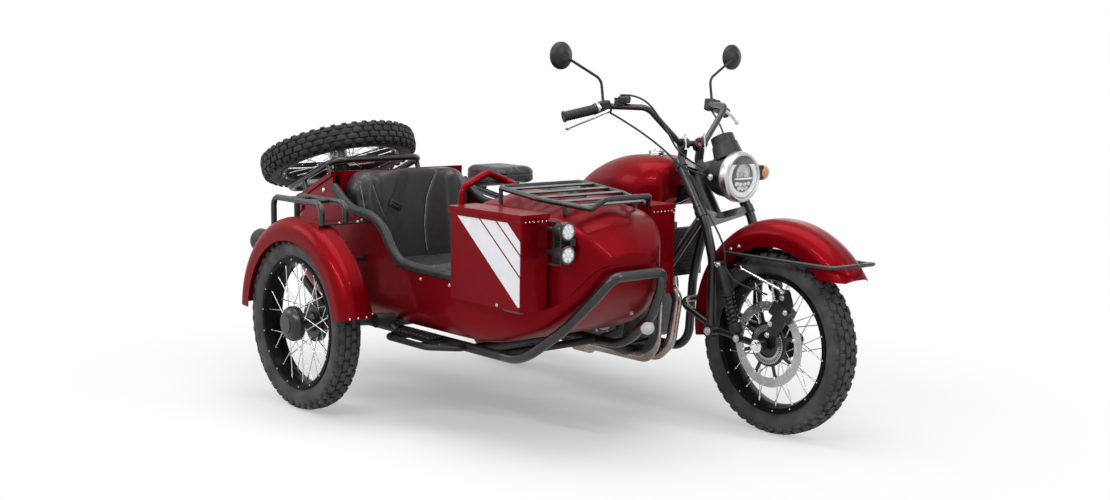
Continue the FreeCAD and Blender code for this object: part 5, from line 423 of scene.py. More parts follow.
belt_web = rubber("belt_webbing", (0.014, 0.014, 0.015), 0.62, 260)
matt_dark = satin_paint("matt_dark", (0.004, 0.004, 0.004), 0.7, 0.0)

# A finish that isn't named here has no slot
USUAL_SLOTS = {
    black_plastic: "black_plastic", matt_dark: "black_plastic", soft_rubber: "black_rubber",
    red_lens: "red_plastic", black_leather: "leather", cast_alloy: "aluminium", zinc_bolt: "aluminium",
    brushed_steel: "aluminium", bright_plate: "aluminium", red_gloss: "red_paint",
    black_satin: "black_paint", mirror_glass: "chrome",
}
CAD_FINISHES = {
    red_gloss: "front_fender sidecar_tub sidecar_nose near_toolbox near_toolbox_lid far_toolbox "
               "far_toolbox_lid grab_handle sidecar_fender trunk_lid rear_fender side_covers fuel_tank",
    black_satin: "fork_legs leading_link fender_guard handlebar motorcycle_frame luggage_rack "
                 "spare_carrier fender_rail bumper front_brake",
    black_powder: "tail_lamp step sidecar_chassis sidecar_suspension rear_suspension foot_controls "
                  "front_shocks",
    black_plastic: "mirrors headlamp spot_lamps sidecar_rear_lamp",
    matt_dark: "radiator",
    brushed_steel: "hand_levers",
    dark_alloy: "engine",
    heated_pipe: "exhaust",
    black_leather: "rider_saddle pillion_seat seat_back seat_cushion",
    soft_rubber: "cockpit_edging control_cables",
    tread_rubber: "front_tyre rear_tyre sidecar_tyre spare_tyre",
    spoke_steel: "front_wheel rear_wheel sidecar_wheel spare_wheel",
}
for finish, names in CAD_FINISHES.items():
    for name in names.split():
        dress(nodes[name], finish)
put_down()

# Wheels
TYRE_RADIUS = 320.0
SPOKES, SPOKE_LEAN = 36, math.radians(42)
PITCHES = 44
LUG_HEIGHT = 13.0


def tyre_model():
    """A carcass with rounded walls, two rows of staggered blocks on the crown and lugs on the shoulders."""
    side = [(232, 33), (243.5, 34.5), (250.5, 40), (251.5, 41.6), (253, 41.2), (262, 45.8), (274, 48.6),
            (286, 48.2), (297, 44), (304.5, 36.5), (309, 26), (311, 13), (311.3, 0)]
    stations = [(radius, -out) for radius, out in side] + [(radius, out) for radius, out in reversed(side[:-1])]
    carcass = lathe(stations, 128, 40, ring=True)
    blocks = []
    long = 2 * math.pi * TYRE_RADIUS / PITCHES
    rows = [  # lateral, radial top, length share, width, tilt, shift share
        (11.5, 319.6, 0.74, 20.0, 0, 0.0), (-11.5, 319.6, 0.74, 20.0, 0, 0.5),
        (32.0, 315.6, 0.66, 16.5, 19, 0.5), (-32.0, 315.6, 0.66, 16.5, -19, 0.0),
        (43.4, 303.0, 0.44, 12.5, 52, 0.0), (-43.4, 303.0, 0.44, 12.5, -52, 0.5),
    ]
    for lateral, top, length, width, tilt, shift in rows:
        lug = block((LUG_HEIGHT, long * length, width), edge=1.8)
        edit(lug)
        choose(lug, lambda middle: middle.x > 0.006)
        bpy.ops.transform.resize(value=(1, 0.9, 0.88), center_override=(LUG_HEIGHT / 2000, 0, 0))
        leave_edit()
        lean = Matrix.Rotation(math.radians(-tilt), 4, "Y")
        place = Matrix.Translation(((top - LUG_HEIGHT / 2) / 1000, 0, lateral / 1000))
        round_to = Matrix.Rotation(2 * math.pi / PITCHES * shift, 4, "Z")
        lug.data.transform(round_to @ place @ lean)
        blocks.append(lug)
    lugs = round_the_axle(joined(blocks), PITCHES)
    return joined([carcass, smooth(lugs, 30)])


def rim_model():
    """A drop-centre rim with rolled flanges, its inner face sloping to the well."""
    half = [(243, 40), (243.4, 38.4), (242.6, 36.4), (239, 35.4), (231, 34.8), (229.5, 30), (224, 15),
            (221, 13)]
    inside = [(239, -40.4), (228, -39.6), (225.5, -38), (217.5, -16), (215.8, -12)]
    section = (half + [(radius, -out) for radius, out in reversed(half)]
               + inside + [(radius, -out) for radius, out in reversed(inside)])
    return lathe(section, 128, 30, ring=True)


def hub_model():
    half = [(9.5, 52), (27, 52), (30.4, 50), (30.4, 37), (60, 37), (62, 35.5), (62, 32.5), (60, 31), (38, 31),
            (36, 22)]
    return lathe([(radius, -out) for radius, out in half] + [(34, 0)] + half[::-1], 48, 30)


def spoke_model():
    """Crossed spokes with their heads at the flanges, and a nipple on each at the rim."""
    bars, nipples = [], []
    for i in range(SPOKES):
        at_rim = 2 * math.pi * (i + 0.5) / SPOKES
        at_hub = at_rim + SPOKE_LEAN * (1 if i // 2 % 2 else -1)
        side = 1 if i % 2 else -1
        hook = round_spot(56, at_hub, side * 35.5)
        seat = round_spot(221, at_rim, side * 21)
        along = (seat - hook).normalized()
        bars.append(bar(hook, seat, 1.9, 8))
        bars.append(bar(hook - along * 0.003, hook + along * 0.003, 3.2, 8))
        nipples.append(bar(seat - along * 0.013, seat + along * 0.002, 3.4, 8))
    return smooth(joined(bars), 50), smooth(joined(nipples), 50)


def nipple_heads():
    """The bright heads that show round the rim's outer faces."""
    heads = []
    for i in range(SPOKES):
        turn = 2 * math.pi * (i + 0.5) / SPOKES
        for side in (1, -1):
            if (i + (side > 0)) % 2:
                continue
            ends = round_spot(233.5, turn, side * 37.5), round_spot(233.5, turn, side * 42.1)
            heads.append(bar(*ends, 3.6, 10, 0.7))
    return smooth(joined(heads), 40)


tyre = tyre_model()
rim = rim_model()
hub = hub_model()
spokes, nipples = spoke_model()
heads = nipple_heads()

ACROSS = Matrix.Rotation(math.radians(-90), 4, "X")
SPARE_SLOPE = math.radians(21.2)
axles = {
    "front": (at(FRONT_AXLE, 0, AXLE_HEIGHT), ACROSS),
    "rear": (at(0, 0, AXLE_HEIGHT), ACROSS),
    "sidecar": (at(SIDECAR_AXLE, -TRACK, AXLE_HEIGHT), ACROSS),
    "spare": (at(-357, -611, 881), Matrix.Rotation(-SPARE_SLOPE, 4, "Y")),
}
for name, (middle, lay) in axles.items():
    body = "trunk_lid" if name == "spare" else name + "_wheel"
    carry = Matrix.Translation(middle) @ lay
    # The spare takes the darker copy of the rubber, as painted shade
    tyre_finish = spare_rubber_painted_shade if name == "spare" else tread_rubber
    for model, part, *finish in (
            (tyre, "tyre_with_blocks", tyre_finish, "tyre", [name + "_tyre"]),
            (rim, "rim", black_gloss, "wheel_chrome", [name + "_wheel"]),
            (hub, "hub", black_satin),
            (spokes, "spokes", spoke_steel, "wheel_chrome"),
            (nipples, "nipples", bright_plate, "wheel_chrome"),
            (heads, "nipple_heads", bright_plate, "wheel_chrome")):
        piece(placed(model, carry), f"{name}_{part}", body, *finish)
drop(tyre, rim, hub, spokes, nipples, heads)

# Fasteners, each modelled once
def bolt_model():
    """A cap screw on its washer, 6 mm in radius, its foot at z = 0."""
    return lathe([(9, 0), (9, 1.3), (6, 1.3), (6, 5.3), (5.1, 6.3), (3, 6.3), (2.76, 3.8)], 20, 30)


def nut_model():
    """A hexagon nut, 9 mm in radius, on a washer with the end of its stud."""
    washer = turned([(13.05, 0), (13.05, 1.6), (5.4, 1.6), (5.4, 11), (4.05, 12)], 24)
    put_down()
    bpy.ops.mesh.primitive_cylinder_add(vertices=6, radius=0.009, depth=0.008, location=(0, 0, 0.0056))
    return smooth(joined([washer, rounded(settle(bpy.context.object), 0.0008, 1)]), 30)


def fasten(name, body, finish, model, spots, scale):
    """Copies of a fastener at (place, facing) spots, as one piece."""
    grown = Matrix.Scale(scale, 4)
    copies = [placed(model, frame_at(place, facing) @ grown) for place, facing in spots]
    piece(joined(copies), name, body, finish)


def panel(corners, thick, normal):
    """A flat plate cut to a convex outline from a square sheet, then given its thickness along the normal."""
    put_down()
    middle = sum(corners, Vector()) / len(corners)
    bpy.ops.mesh.primitive_grid_add(x_subdivisions=2, y_subdivisions=2, size=3)
    sheet = stood(bpy.context.object, middle, normal)
    for start, end in zip(corners, corners[1:] + corners[:1]):
        away = (end - start).cross(normal).normalized()
        if away.dot(middle - start) > 0:
            away.negate()
        cut_off(sheet, start, away, fill=False)
    edit(sheet)
    bpy.ops.mesh.dissolve_limited(angle_limit=0.01)
    bpy.ops.mesh.select_all(action="SELECT")
    bpy.ops.mesh.extrude_region_move(TRANSFORM_OT_translate={"value": normal * thick / 1000})
    leave_edit()
    return outward(sheet)


def coil(radius, thick, pitch, turns):
    """A spring wound about z from z = 0, sizes in millimetres."""
    put_down()
    bpy.ops.mesh.primitive_circle_add(vertices=8, radius=thick / 1000, location=(radius / 1000, 0, 0),
                                      rotation=(math.pi / 2, 0, 0))
    thing = settle(bpy.context.object)
    wind = thing.modifiers.new("wind", "SCREW")
    wind.screw_offset, wind.iterations, wind.steps, wind.render_steps = pitch / 1000, turns, 24, 24
    apply_all(thing)
    edit(thing)
    bpy.ops.mesh.select_mode(type="EDGE")
    bpy.ops.mesh.select_all(action="DESELECT")
    bpy.ops.mesh.select_non_manifold()
    bpy.ops.mesh.fill_holes(sides=0)
    leave_edit()
    return smooth(outward(thing), 60)


cap_screw = bolt_model()
hex_nut = nut_model()
rivet = lathe([(3.0, 0), (3.0, 0.6), (2.2, 1.5), (0.8, 1.9)], 12, 60)


def washer_ring(outer, inner, half, sides):
    """A flat ring about z, reaching half above and below z = 0."""
    return turned([(outer, -half), (outer, half), (inner, half), (inner, -half)], sides, ring=True)


def on_axle(thing, x, y, facing=NEAR):
    """Lays a model made about z on the axle line at the given place, facing out of the wheel."""
    return stood(thing, at(x, y, AXLE_HEIGHT), facing)


# Front wheel: a drilled disc 5 mm thick, its carrier and the toothed ring
DISC_OUT, TOOTHED_OUT = -49.5, -54.5
HOLES = 54
disc = lathe([(118, -2.5), (149, -2.5), (150, -1.5), (150, 1.5), (149, 2.5), (118, 2.5), (117, 1.5),
              (117, -1.5)], 96, 30, ring=True)
drills = []
for i in range(HOLES):
    turn = 2 * math.pi * i / HOLES
    reach = (125, 133.5, 142)[i % 3]
    drills.append(bar(round_spot(reach, turn, -10), round_spot(reach, turn, 10), 2.7, 8))
drills = joined(drills)
bore = disc.modifiers.new("drilled", "BOOLEAN")
bore.object, bore.operation, bore.solver = drills, "DIFFERENCE", "EXACT"
apply_all(disc)
drop(drills)
arm = block((46, 13, 4.5), (95, 0, 0), 0.8, 1)
arm.data.transform(Matrix.Rotation(math.radians(18), 4, "Z"))
carrier = joined([round_the_axle(arm, 8), washer_ring(78, 44, 2.2, 64)])
bobbin = shifted(turned([(6.5, -3.6), (6.5, 3.6), (4, 4.2), (1, 4.2)], 16), 113.5, 33, 0)
bobbins = smooth(round_the_axle(bobbin, 8), 40)
tooth = block((12, 3.4, 2.2), (60, 0, 0), 0.3, 1)
toothed = joined([round_the_axle(tooth, 48), washer_ring(57, 47, 1.1, 64), washer_ring(69, 65.5, 1.1, 64)])
cover = lathe([(45, -6), (45, 2), (40, 6), (30, 7.5), (20, 7.5)], 40, 30)
for model, out, name, finish in (
        (disc, DISC_OUT, "front_disc", brushed_steel),
        (carrier, DISC_OUT, "front_disc_carrier", black_satin),
        (bobbins, DISC_OUT, "front_disc_bobbins", bright_plate),
        (toothed, TOOTHED_OUT, "front_toothed_ring", brushed_steel),
        (cover, DISC_OUT, "front_hub_cover", black_satin)):
    piece(on_axle(model, FRONT_AXLE, out), name, "front_wheel", finish)

# Rear wheel: sprocket with its teeth and holes
tooth = block((9, 4.6, 4.4), (93.5, 0, 0), 0.9, 1)
arm = block((36, 16, 5), (48, 0, 0), 0.8, 1)
sprocket = joined([washer_ring(91, 62, 2.5, 80), round_the_axle(tooth, 40), round_the_axle(arm, 6),
                   washer_ring(36, 31, 3, 40)])
piece(on_axle(sprocket, 0, 49.4, FAR), "rear_sprocket", "rear_wheel", brushed_steel)

# Sidecar wheel: black domed cap over the hub with a stepped boss, and the drum behind it
dome = lathe([(64, 37.2), (64, 54), (62, 58), (56, 68), (48, 75), (38, 79), (34, 79), (33, 82.6), (12, 82.6)],
             64, 25)
piece(on_axle(dome, SIDECAR_AXLE, -TRACK), "sidecar_hub_cap", "sidecar_wheel", black_satin)
drum = lathe([(76, -8), (76, 8), (70, 11), (36, 11)], 64, 25)
piece(on_axle(drum, SIDECAR_AXLE, -TRACK + 46, FAR), "sidecar_brake_drum", "sidecar_wheel", black_satin)

# Front shocks: sleeve, spring, rod and cup
SHOCK_TOP, SHOCK_FOOT = Vector((1345, 126, 585)), Vector((1440, 126, 339.3))


def shock_models():
    long = (SHOCK_FOOT - SHOCK_TOP).length
    sleeve = lathe([(9, 4), (19, 8), (21, 14), (25, 60), (25.8, 108), (22, 112), (22, 116), (10, 118)], 40, 35)
    rod = turned([(11, 110), (11, long * 0.82)], 20)
    cup = lathe([(19, long * 0.80), (24, long * 0.82), (24, long * 0.84), (21, long * 0.92),
                 (12, long * 0.945)], 40, 35)
    spring = shifted(coil(18.6, 3.4, 15.5, 6), 0, 0, 114)
    end = UP * long / 1000
    top_eye = bar(NEAR * -0.011, NEAR * 0.011, 13, 24)
    low_eye = bar(end + NEAR * -0.011, end + NEAR * 0.011, 14.5, 24)
    eyes = smooth(joined([rounded(top_eye, 0.001), rounded(low_eye, 0.001)]), 30)
    return joined([sleeve, rod, cup, eyes, bar(end * 0.93, end, 9, 16)]), spring


shock, spring = shock_models()
for side, name, _ in SIDES:
    top = at(SHOCK_TOP.x, SHOCK_TOP.y * side, SHOCK_TOP.z)
    foot = at(SHOCK_FOOT.x, SHOCK_FOOT.y * side, SHOCK_FOOT.z)
    lay = Matrix.Translation(top) @ Matrix.Rotation(math.atan2(foot.x - top.x, foot.z - top.z), 4, "Y")
    replaced = ["front_shocks"] if side < 0 else []
    piece(placed(shock, lay), f"{name}_front_shock", "fork", black_plastic, "dark_steel", replaced)
    piece(placed(spring, lay), f"{name}_front_spring", "fork", black_satin, "dark_steel")
    pins = [bar(at(1321, 126 * side, 585), at(1345, 126 * side, 585), 8, 20),
            bar(at(1440, 103 * side, 339.3), at(1440, 137 * side, 339.3), 8.5, 20)]
    piece(smooth(joined(pins), 30), f"{name}_shock_pins", "fork", zinc_bolt, "dark_steel")
drop(shock, spring)

# Cables and the brake hose, along the routes of their solids, with their radii
ROUTES = {
    "throttle_cable": (3.5, (912, -262, 1098), (990, -228, 1056), (1088, -166, 978), (1180, -150, 905),
                       (1232, -94, 888)),
    "switch_cable": (3.5, (950, -247, 1162), (1050, -236, 1170), (1112, -182, 1060), (1168, -158, 950),
                     (1222, -100, 914)),
    "clutch_cable": (3.5, (912, 262, 1098), (990, 228, 1056), (1088, 166, 978), (1180, 150, 905),
                     (1232, 94, 888)),
    "brake_hose": (3.5, (1286, -130, 757), (1388, -148, 664), (1386, -150, 586), (1420, -134, 536),
                   (1478, -96, 510), (1530, -86, 500)),
    "hose_sheath": (5.0, (1386, -150, 586), (1400, -143, 560), (1424, -132, 534)),
}
for name, (radius, *route) in ROUTES.items():
    piece(wire(name, [at(*spot) for spot in route], radius), name, "fork", soft_rubber,
          replaced=["control_cables"] if name == "throttle_cable" else [])

# Headlamp: ring, dark face, halo, projector and glass
LAMP_FACE = at(1317, 0, 883)


def lamp_piece(thing, part, finish, slot="usual"):
    piece(stood(thing, LAMP_FACE, AHEAD), f"headlamp_{part}", "fork", finish, slot)


ring = lathe([(88.5, -26), (90.5, -20), (90.5, 2), (87, 8), (82, 10.5), (76, 9), (72.5, 4), (72.5, 0.5),
              (80, 0.5), (84, -20)], 96, 35, ring=True)
lamp_piece(ring, "ring", brushed_steel, "chrome")
halo = lathe([(72, 0.8), (72, 4), (69, 7.5), (58, 7.0), (52, 3), (52, 0.8)], 96, 50, ring=True)
cut_off(halo, (0, 0.044, 0), (0, 1, 0))
lamp_piece(halo, "halo", halo_white)
face = lathe([(72.4, 0.2), (72.4, 1.4), (51, 1.4), (49, 0.9)], 64, 35)
panel_above = block((34, 17, 6), (0, 53, 3), 2.0)
lamp_piece(joined([face, panel_above]), "face", matt_dark)
dome = turned([(34, 1), (34, 5), (31.5, 6), (30, 3), (12, 2.5)], 48)
cut_off(dome, (0, -0.012, 0), (0, -1, 0))
eye = shifted(turned([(10, 1), (10, 6), (7, 8.4), (2, 9)], 24), -6, 8, 0)
lamp_piece(smooth(joined([shifted(dome, 0, 12, 0), eye]), 35), "projector", brushed_steel, "chrome")
cells = [block((88, 7, 8), (0, -5, 4.5), 1.2)]
for across, down in ((-29, -22), (-10, -24), (10, -24), (29, -22), (-17, -38), (0, -40), (17, -38)):
    cells.append(shifted(turned([(8.6, 1), (8.6, 3), (6.5, 6), (4, 3), (1, 4.5)], 8), across, down, 0))
lamp_piece(smooth(joined(cells), 20), "reflectors", bright_plate, "chrome")
glass = lathe([(72, 6.5), (71.8, 8.5), (60, 12), (40, 14.6), (18, 15.8), (5, 16)], 64, 60)
lamp_piece(glass, "glass", clear_glass)

# Left turn signal
lens = lathe([(29, -14), (29.4, -4), (28, 8), (24, 16), (14, 21), (4, 22.4)], 48, 50)
piece(stood(lens, at(1252, 178, 888), AHEAD), "left_signal_lens", "fork", amber_glow)

# Spot lamps: rims, glasses and lit cells, one in the middle of six
for height, name in ((753, "upper"), (678, "lower")):
    rim_ring = lathe([(30, -14), (30.6, -8), (30.6, 1.5), (28, 3), (25.2, 3), (25.2, 0.3), (28, 0.3)], 48, 35,
                     ring=True)
    bowl = lathe([(25.1, 0.3), (25.1, 1.2), (23, 1.4), (4, 1.0)], 40, 50)
    leds = []
    for i in range(7):
        turn = 2 * math.pi * i / 6
        reach = 0 if i == 6 else 14.5
        leds.append(shifted(turned([(6.8, 1.2), (6.8, 1.8), (5, 3.6), (3, 2.2), (0.8, 2.4)], 12),
                            reach * math.cos(turn), reach * math.sin(turn), 0))
    glass = lathe([(25, 3.8), (24.6, 5), (12, 6.2), (3, 6.5)], 40, 60)
    for thing, part, *finish in ((rim_ring, "rim", black_satin, "black_plastic"),
                                 (bowl, "reflector", brushed_steel, "chrome"),
                                 (smooth(joined(leds), 40), "cells", halo_white),
                                 (glass, "glass", clear_glass)):
        stood(thing, at(1370, SIDECAR_MIDDLE - 240, height), AHEAD)
        piece(thing, f"{name}_spot_{part}", "chassis", *finish)

# White stripes on the near toolbox, as thin film
FILM_Y, FILM_THICK = -950.05, 0.35
STRIPES = (
    ((910, 780), (1027, 780), (1254, 598), (1254, 505), (1247, 503)),
    ((1036, 780), (1114, 780), (1255, 668), (1255, 605)),
    ((1123, 780), (1177, 780), (1255.5, 714), (1255.5, 675)),
)
stripes = [panel([at(x, FILM_Y, z) for x, z in corners], FILM_THICK, NEAR) for corners in STRIPES]
piece(joined(stripes), "box_stripes", "chassis", white_vinyl)

# Cushions: each is copied from its solid, remeshed and blown up as cloth, and all but the rider's saddle are
# then sewn
def finer(thing):
    grid = thing.modifiers.new("finer", "SUBSURF")
    grid.levels = grid.render_levels = 1
    return thing


def pressed(cushion, rule):
    """Moves every point of a cushion by a rule of its place and normal."""
    spots = [(spot.co.copy(), spot.normal.copy()) for spot in cushion.data.vertices]
    for spot, (place, normal) in zip(cushion.data.vertices, spots):
        spot.co = rule(place, normal)


BLOWN = 20  # frames of cloth


def puffed(node, cap, voxel=0.006, shape=None):
    """A cushion in the space of its solid; the cap is how far, in metres, any point may move."""
    cushion = outward(copied(nodes[node]), 0.0001)
    grid = cushion.modifiers.new("grid", "REMESH")
    grid.mode, grid.voxel_size = "VOXEL", voxel
    apply_all(cushion)
    edit(cushion)
    bpy.ops.transform.shrink_fatten(value=-0.0025)
    bpy.ops.mesh.vertices_smooth(factor=0.5, repeat=6)
    leave_edit()
    if shape:
        pressed(cushion, shape)
    start = [spot.co.copy() for spot in cushion.data.vertices]
    cloth = cushion.modifiers.new("air", "CLOTH")
    told = cloth.settings
    told.use_pressure, told.uniform_pressure_force = True, 4.0
    told.quality, told.mass = 4, 0.3
    told.effector_weights.gravity = 0.0
    cloth.point_cache.frame_start, cloth.point_cache.frame_end = 1, BLOWN
    for moment in range(1, BLOWN + 1):
        bpy.context.scene.frame_set(moment)
    apply_all(cushion)
    bpy.context.scene.frame_set(1)
    for spot, begun in zip(cushion.data.vertices, start):
        moved = spot.co - begun
        if moved.length > cap:
            spot.co = begun + moved * (cap / moved.length)
    edit(cushion)
    bpy.ops.mesh.vertices_smooth(factor=0.5, repeat=3)
    leave_edit()
    return smooth(apply_all(finer(cushion)), 80)


def covered(cushion, node, name):
    piece(cushion, name, "chassis", black_leather, replaced=[node])


def sew(cushion, seam, depth, width, faces=None):
    """Draws a seam in: seam gives, in millimetres, how far from it a place of the frame lies."""
    def draw_in(place, normal):
        away = seam(place * 1000)
        if abs(away) < width * 3 and (faces is None or faces(normal)):
            place = place - normal * depth / 1000 * math.exp(-(away / width) ** 2)
        return place
    pressed(cushion, draw_in)


def on_cushion(cushion, start, aim, proud):
    """Where a straight line first meets a cushion, a little proud of its face."""
    met, place, normal, _ = cushion.ray_cast(start, aim)
    return (place + normal * proud, normal) if met else None


def strap(cushion, stations, width, thick):
    """A webbing strap laid over a cushion, from (start, aim, across) stations."""
    shares = (-0.5, -0.25, 0, 0.25, 0.5)
    rows = [[on_cushion(cushion, start + across * width * share, aim, thick)[0] for share in shares]
            for start, aim, across in stations]
    put_down()
    bpy.ops.mesh.primitive_grid_add(x_subdivisions=len(rows) - 1, y_subdivisions=4, size=1)
    band = bpy.context.object
    ordered = sorted(band.data.vertices, key=lambda spot: (round(spot.co.x, 4), spot.co.y))
    for spot, place in zip(ordered, [place for row in rows for place in row]):
        spot.co = place
    cloth = finer(band).modifiers.new("thick", "SOLIDIFY")
    cloth.thickness, cloth.offset = thick, 0
    return smooth(outward(apply_all(band)), 40)


BACK_MIDDLE = at(0, SIDECAR_MIDDLE, 0).y * 1000
BOLSTER, BOLSTER_EASE = 205, 60


def bucket(place, normal):
    """The back's middle sinks a little between its side bolsters."""
    across = abs(place.y * 1000 - BACK_MIDDLE)
    share = min(1.0, max(0.0, (BOLSTER - across) / BOLSTER_EASE))
    share = share * share * (3 - 2 * share)
    if normal.x > 0.3:
        place.x -= 0.016 * share
    return place


# Three seams of the back, as (height, place across) on the vehicle
BACK_SEAMS = {
    "outer": ((868, -850), (811, -853), (720, -844), (640, -836), (545, -830)),
    "near": ((868, -822), (797, -803), (689, -756), (628, -734), (545, -718)),
    "far": ((868, -482), (813, -521), (750, -555), (655, -574), (586, -576), (545, -571)),
}


def seam_across(line, height):
    """Where a seam lies across the back at a height, in the frame's millimetres."""
    for (high, start), (low, end) in zip(line, line[1:]):
        if height >= low:
            break
    return start + (end - start) * (high - height) / (high - low) + LEFT_SHIFT


seat_back = puffed("seat_back", 0.010, shape=bucket)
for line in BACK_SEAMS.values():
    sew(seat_back, lambda place, line=line: place.y - seam_across(line, place.z), 2.4, 4.0,
        lambda normal: normal.x > 0.1)
covered(seat_back, "seat_back", "seat_back_pad")
bpy.context.view_layer.update()
threads = []
for line in BACK_SEAMS.values():
    places = []
    for height in range(858, 545, -24):
        start = Vector((at(500, 0, 0).x, seam_across(line, height) / 1000, height / 1000))
        laid = on_cushion(seat_back, start, BACK, 0.0006)
        places += [laid[0]] if laid else []
    threads.append(wire("thread", places, 1.1))
piece(joined(threads), "seat_back_threads", "chassis", stitch_thread)
slant = Vector((0, 0.88, -0.47))
stations = [(at(x, y, 1000), -UP, FAR) for x, y in ((134, -641), (146, -643), (158, -645), (168, -648))]
stations += [(at(500, y, z), BACK, slant) for y, z in (
    (-654, 845), (-662, 815), (-678, 783), (-692, 754), (-707, 724), (-721, 697), (-735, 669), (-748, 642),
    (-762, 612), (-776, 580), (-790, 548))]
piece(strap(seat_back, stations, 0.048, 0.0016), "seat_belt", "chassis", belt_web)
spot, normal = on_cushion(seat_back, at(500, -705, 728), BACK, 0.004)
adjuster = joined([block((56, 30, 6), edge=2.0), block((40, 5, 4), (0, 6, 4), 1.0),
                   block((40, 5, 4), (0, -6, 4), 1.0)])
piece(smooth(stood(adjuster, spot, normal, -27), 30), "belt_adjuster", "chassis", black_plastic)

bench = puffed("seat_cushion", 0.012)
for channel in (BACK_MIDDLE - 165, BACK_MIDDLE + 165):
    sew(bench, lambda place, channel=channel: place.y - channel, 4.0, 6.0, lambda normal: normal.z > 0.2)
covered(bench, "seat_cushion", "seat_cushion_pad")

saddle = puffed("rider_saddle", 0.009, voxel=0.005)
covered(saddle, "rider_saddle", "rider_saddle_pad")
pillion = puffed("pillion_seat", 0.007, voxel=0.005)
sew(pillion, lambda place: place.z - 803, 2.5, 3.0)
covered(pillion, "pillion_seat", "pillion_pad")

# Screws, nuts and rivets
def both_sides(spots):
    """(x, out from the centre plane, z) spots on the fork, near and far, facing outwards."""
    return [(at(x, out * side, z), facing) for x, out, z in spots for side, _, facing in SIDES]


def spots_at(places, facing):
    return [(at(*place), facing) for place in places]


ON_FORK = (
    ("shock_eye_screws", cap_screw, both_sides([(1345, 137.2, 585), (1440, 137.2, 339.3)]), 1.5),
    ("link_pivot_screws", cap_screw, both_sides([(1303, 137.2, 345)]), 1.7),
    ("caliper_screws", cap_screw,
     spots_at([(1515, -63.3, 355), (1527, -63.3, 395), (1577, -63.3, 492), (1604, -76.3, 446)], NEAR), 1.15),
    ("fender_side_screws", cap_screw, both_sides([(1348, 77.1, 637), (1386, 77.1, 650)]), 0.8),
    ("lamp_side_screw", cap_screw, spots_at([(1256.5, -93, 883)], NEAR), 1.3),
    ("bar_clamp_screws", cap_screw, spots_at([(1072, y, 1006.5) for y in (-53, -33, 33, 53)], UP), 0.9),
)
for name, model, spots, scale in ON_FORK:
    fasten(name, "fork", zinc_bolt, model, spots, scale)
fasten("front_axle_nuts", "fork", bright_plate, hex_nut, both_sides([(FRONT_AXLE, 110.2, AXLE_HEIGHT)]), 1.75)

TREAD_TOP = 321.3
tread_studs = ([(522 + 21.8 * i, y, TREAD_TOP) for y in (-925, -869) for i in range(10)]
               + [(x, y, TREAD_TOP) for x in (517, 723) for y in (-911, -897, -883)])
ON_CHASSIS = (
    ("tub_edge_screws", zinc_bolt, cap_screw,
     spots_at([(294, -920.2, 693), (430, -920.2, 655), (668, -920.2, 521), (838, -920.2, 521)], NEAR), 0.7),
    ("trunk_side_stud", bright_plate, rivet, spots_at([(11, -908.3, 781)], NEAR), 3.0),
    ("rail_bar_screws", zinc_bolt, cap_screw,
     spots_at([(x, y, z) for x, z in ((341, 693.3), (2, 663.2)) for y in (-1046, -968)], UP), 0.8),
    ("fender_edge_rivets", bright_plate, rivet,
     spots_at([(587.7, y, 392) for y in (-1160, -1126, -1092)], (0.98, 0, 0.19)), 1.1),
    ("box_floor_screws", zinc_bolt, cap_screw, spots_at([(1138, -950.3, 497)], NEAR), 0.6),
    ("tub_front_screws", zinc_bolt, cap_screw, spots_at([(1276, -482, 443)], (0.58, 0, -0.81)), 1.1),
    ("box_front_rivets", bright_plate, rivet,
     spots_at([(1263.1, start + 17 * i, 776.5) for start in (-935, -372) for i in range(6)], AHEAD), 0.9),
    ("step_tread_studs", zinc_bolt, rivet, spots_at(tread_studs, UP), 0.6),
)
for name, finish, model, spots, scale in ON_CHASSIS:
    fasten(name, "chassis", finish, model, spots, scale)
edge_rivets = [(1260.2, y, 512 + 33 * i) for y in (-281, -943) for i in range(9)]
fasten("box_edge_rivets", "chassis", red_gloss, rivet, spots_at(edge_rivets, AHEAD), 1.2)

# Fork: leg collars, the torque rod's sleeve, the bar clamps' studs, lock and switches
for side, name, _ in SIDES:
    collar = lathe([(16.8, -13), (20.2, -12), (20.2, -2), (19.2, -1), (19.2, 1), (20.2, 2), (20.2, 12),
                    (16.8, 13)], 40, 30, ring=True)
    stood(collar, at(1230.6, 120 * side, 773.7), (0.545, 0, -0.84))
    piece(collar, f"{name}_leg_collar", "fork", black_satin, "dark_steel")


def stretch(start, end, low, high, radius, sides=12):
    """A bar over a part of the way between two places."""
    along = end - start
    return bar(start + along * low, start + along * high if high < 1 else end, radius, sides)


rod = at(1389, -91, 582.4), at(1592, -63.9, 514)
sleeve = [stretch(*rod, 0, 1, 5.35, 16), stretch(*rod, 0, 0.1, 7.5, 6), stretch(*rod, 0.9, 1, 7.5, 6)]
piece(smooth(joined(sleeve), 30), "torque_rod_sleeve", "fork", bright_plate)
studs = []
for y in (-53, 45):
    stud = at(1092, y, 968), at(1082, y + 4, 1024)
    studs += [stretch(*stud, 0, 1, 3.4), stretch(*stud, 0.86, 1, 5.6), stretch(*stud, 0, 0.1, 7, 6)]
piece(smooth(joined(studs), 30), "bar_clamp_studs", "fork", bright_plate)
lock = lathe([(13, -24), (13, 0), (11.5, 2), (9.5, 2), (9.5, 0.6), (4, 0.6)], 32, 30)
stood(lock, at(1106, 0, 984), (0.85, -0.1, 0.5))
piece(lock, "ignition_lock", "fork", black_plastic)
keys = [bar(at(1100, 0, 981), at(1110, -1.2, 987), 7.5, 20),
        bar(at(1090, 29, 1006), at(1096, 28.6, 1011), 6, 20)]
piece(smooth(joined(keys), 30), "red_switch_caps", "fork", red_lens)

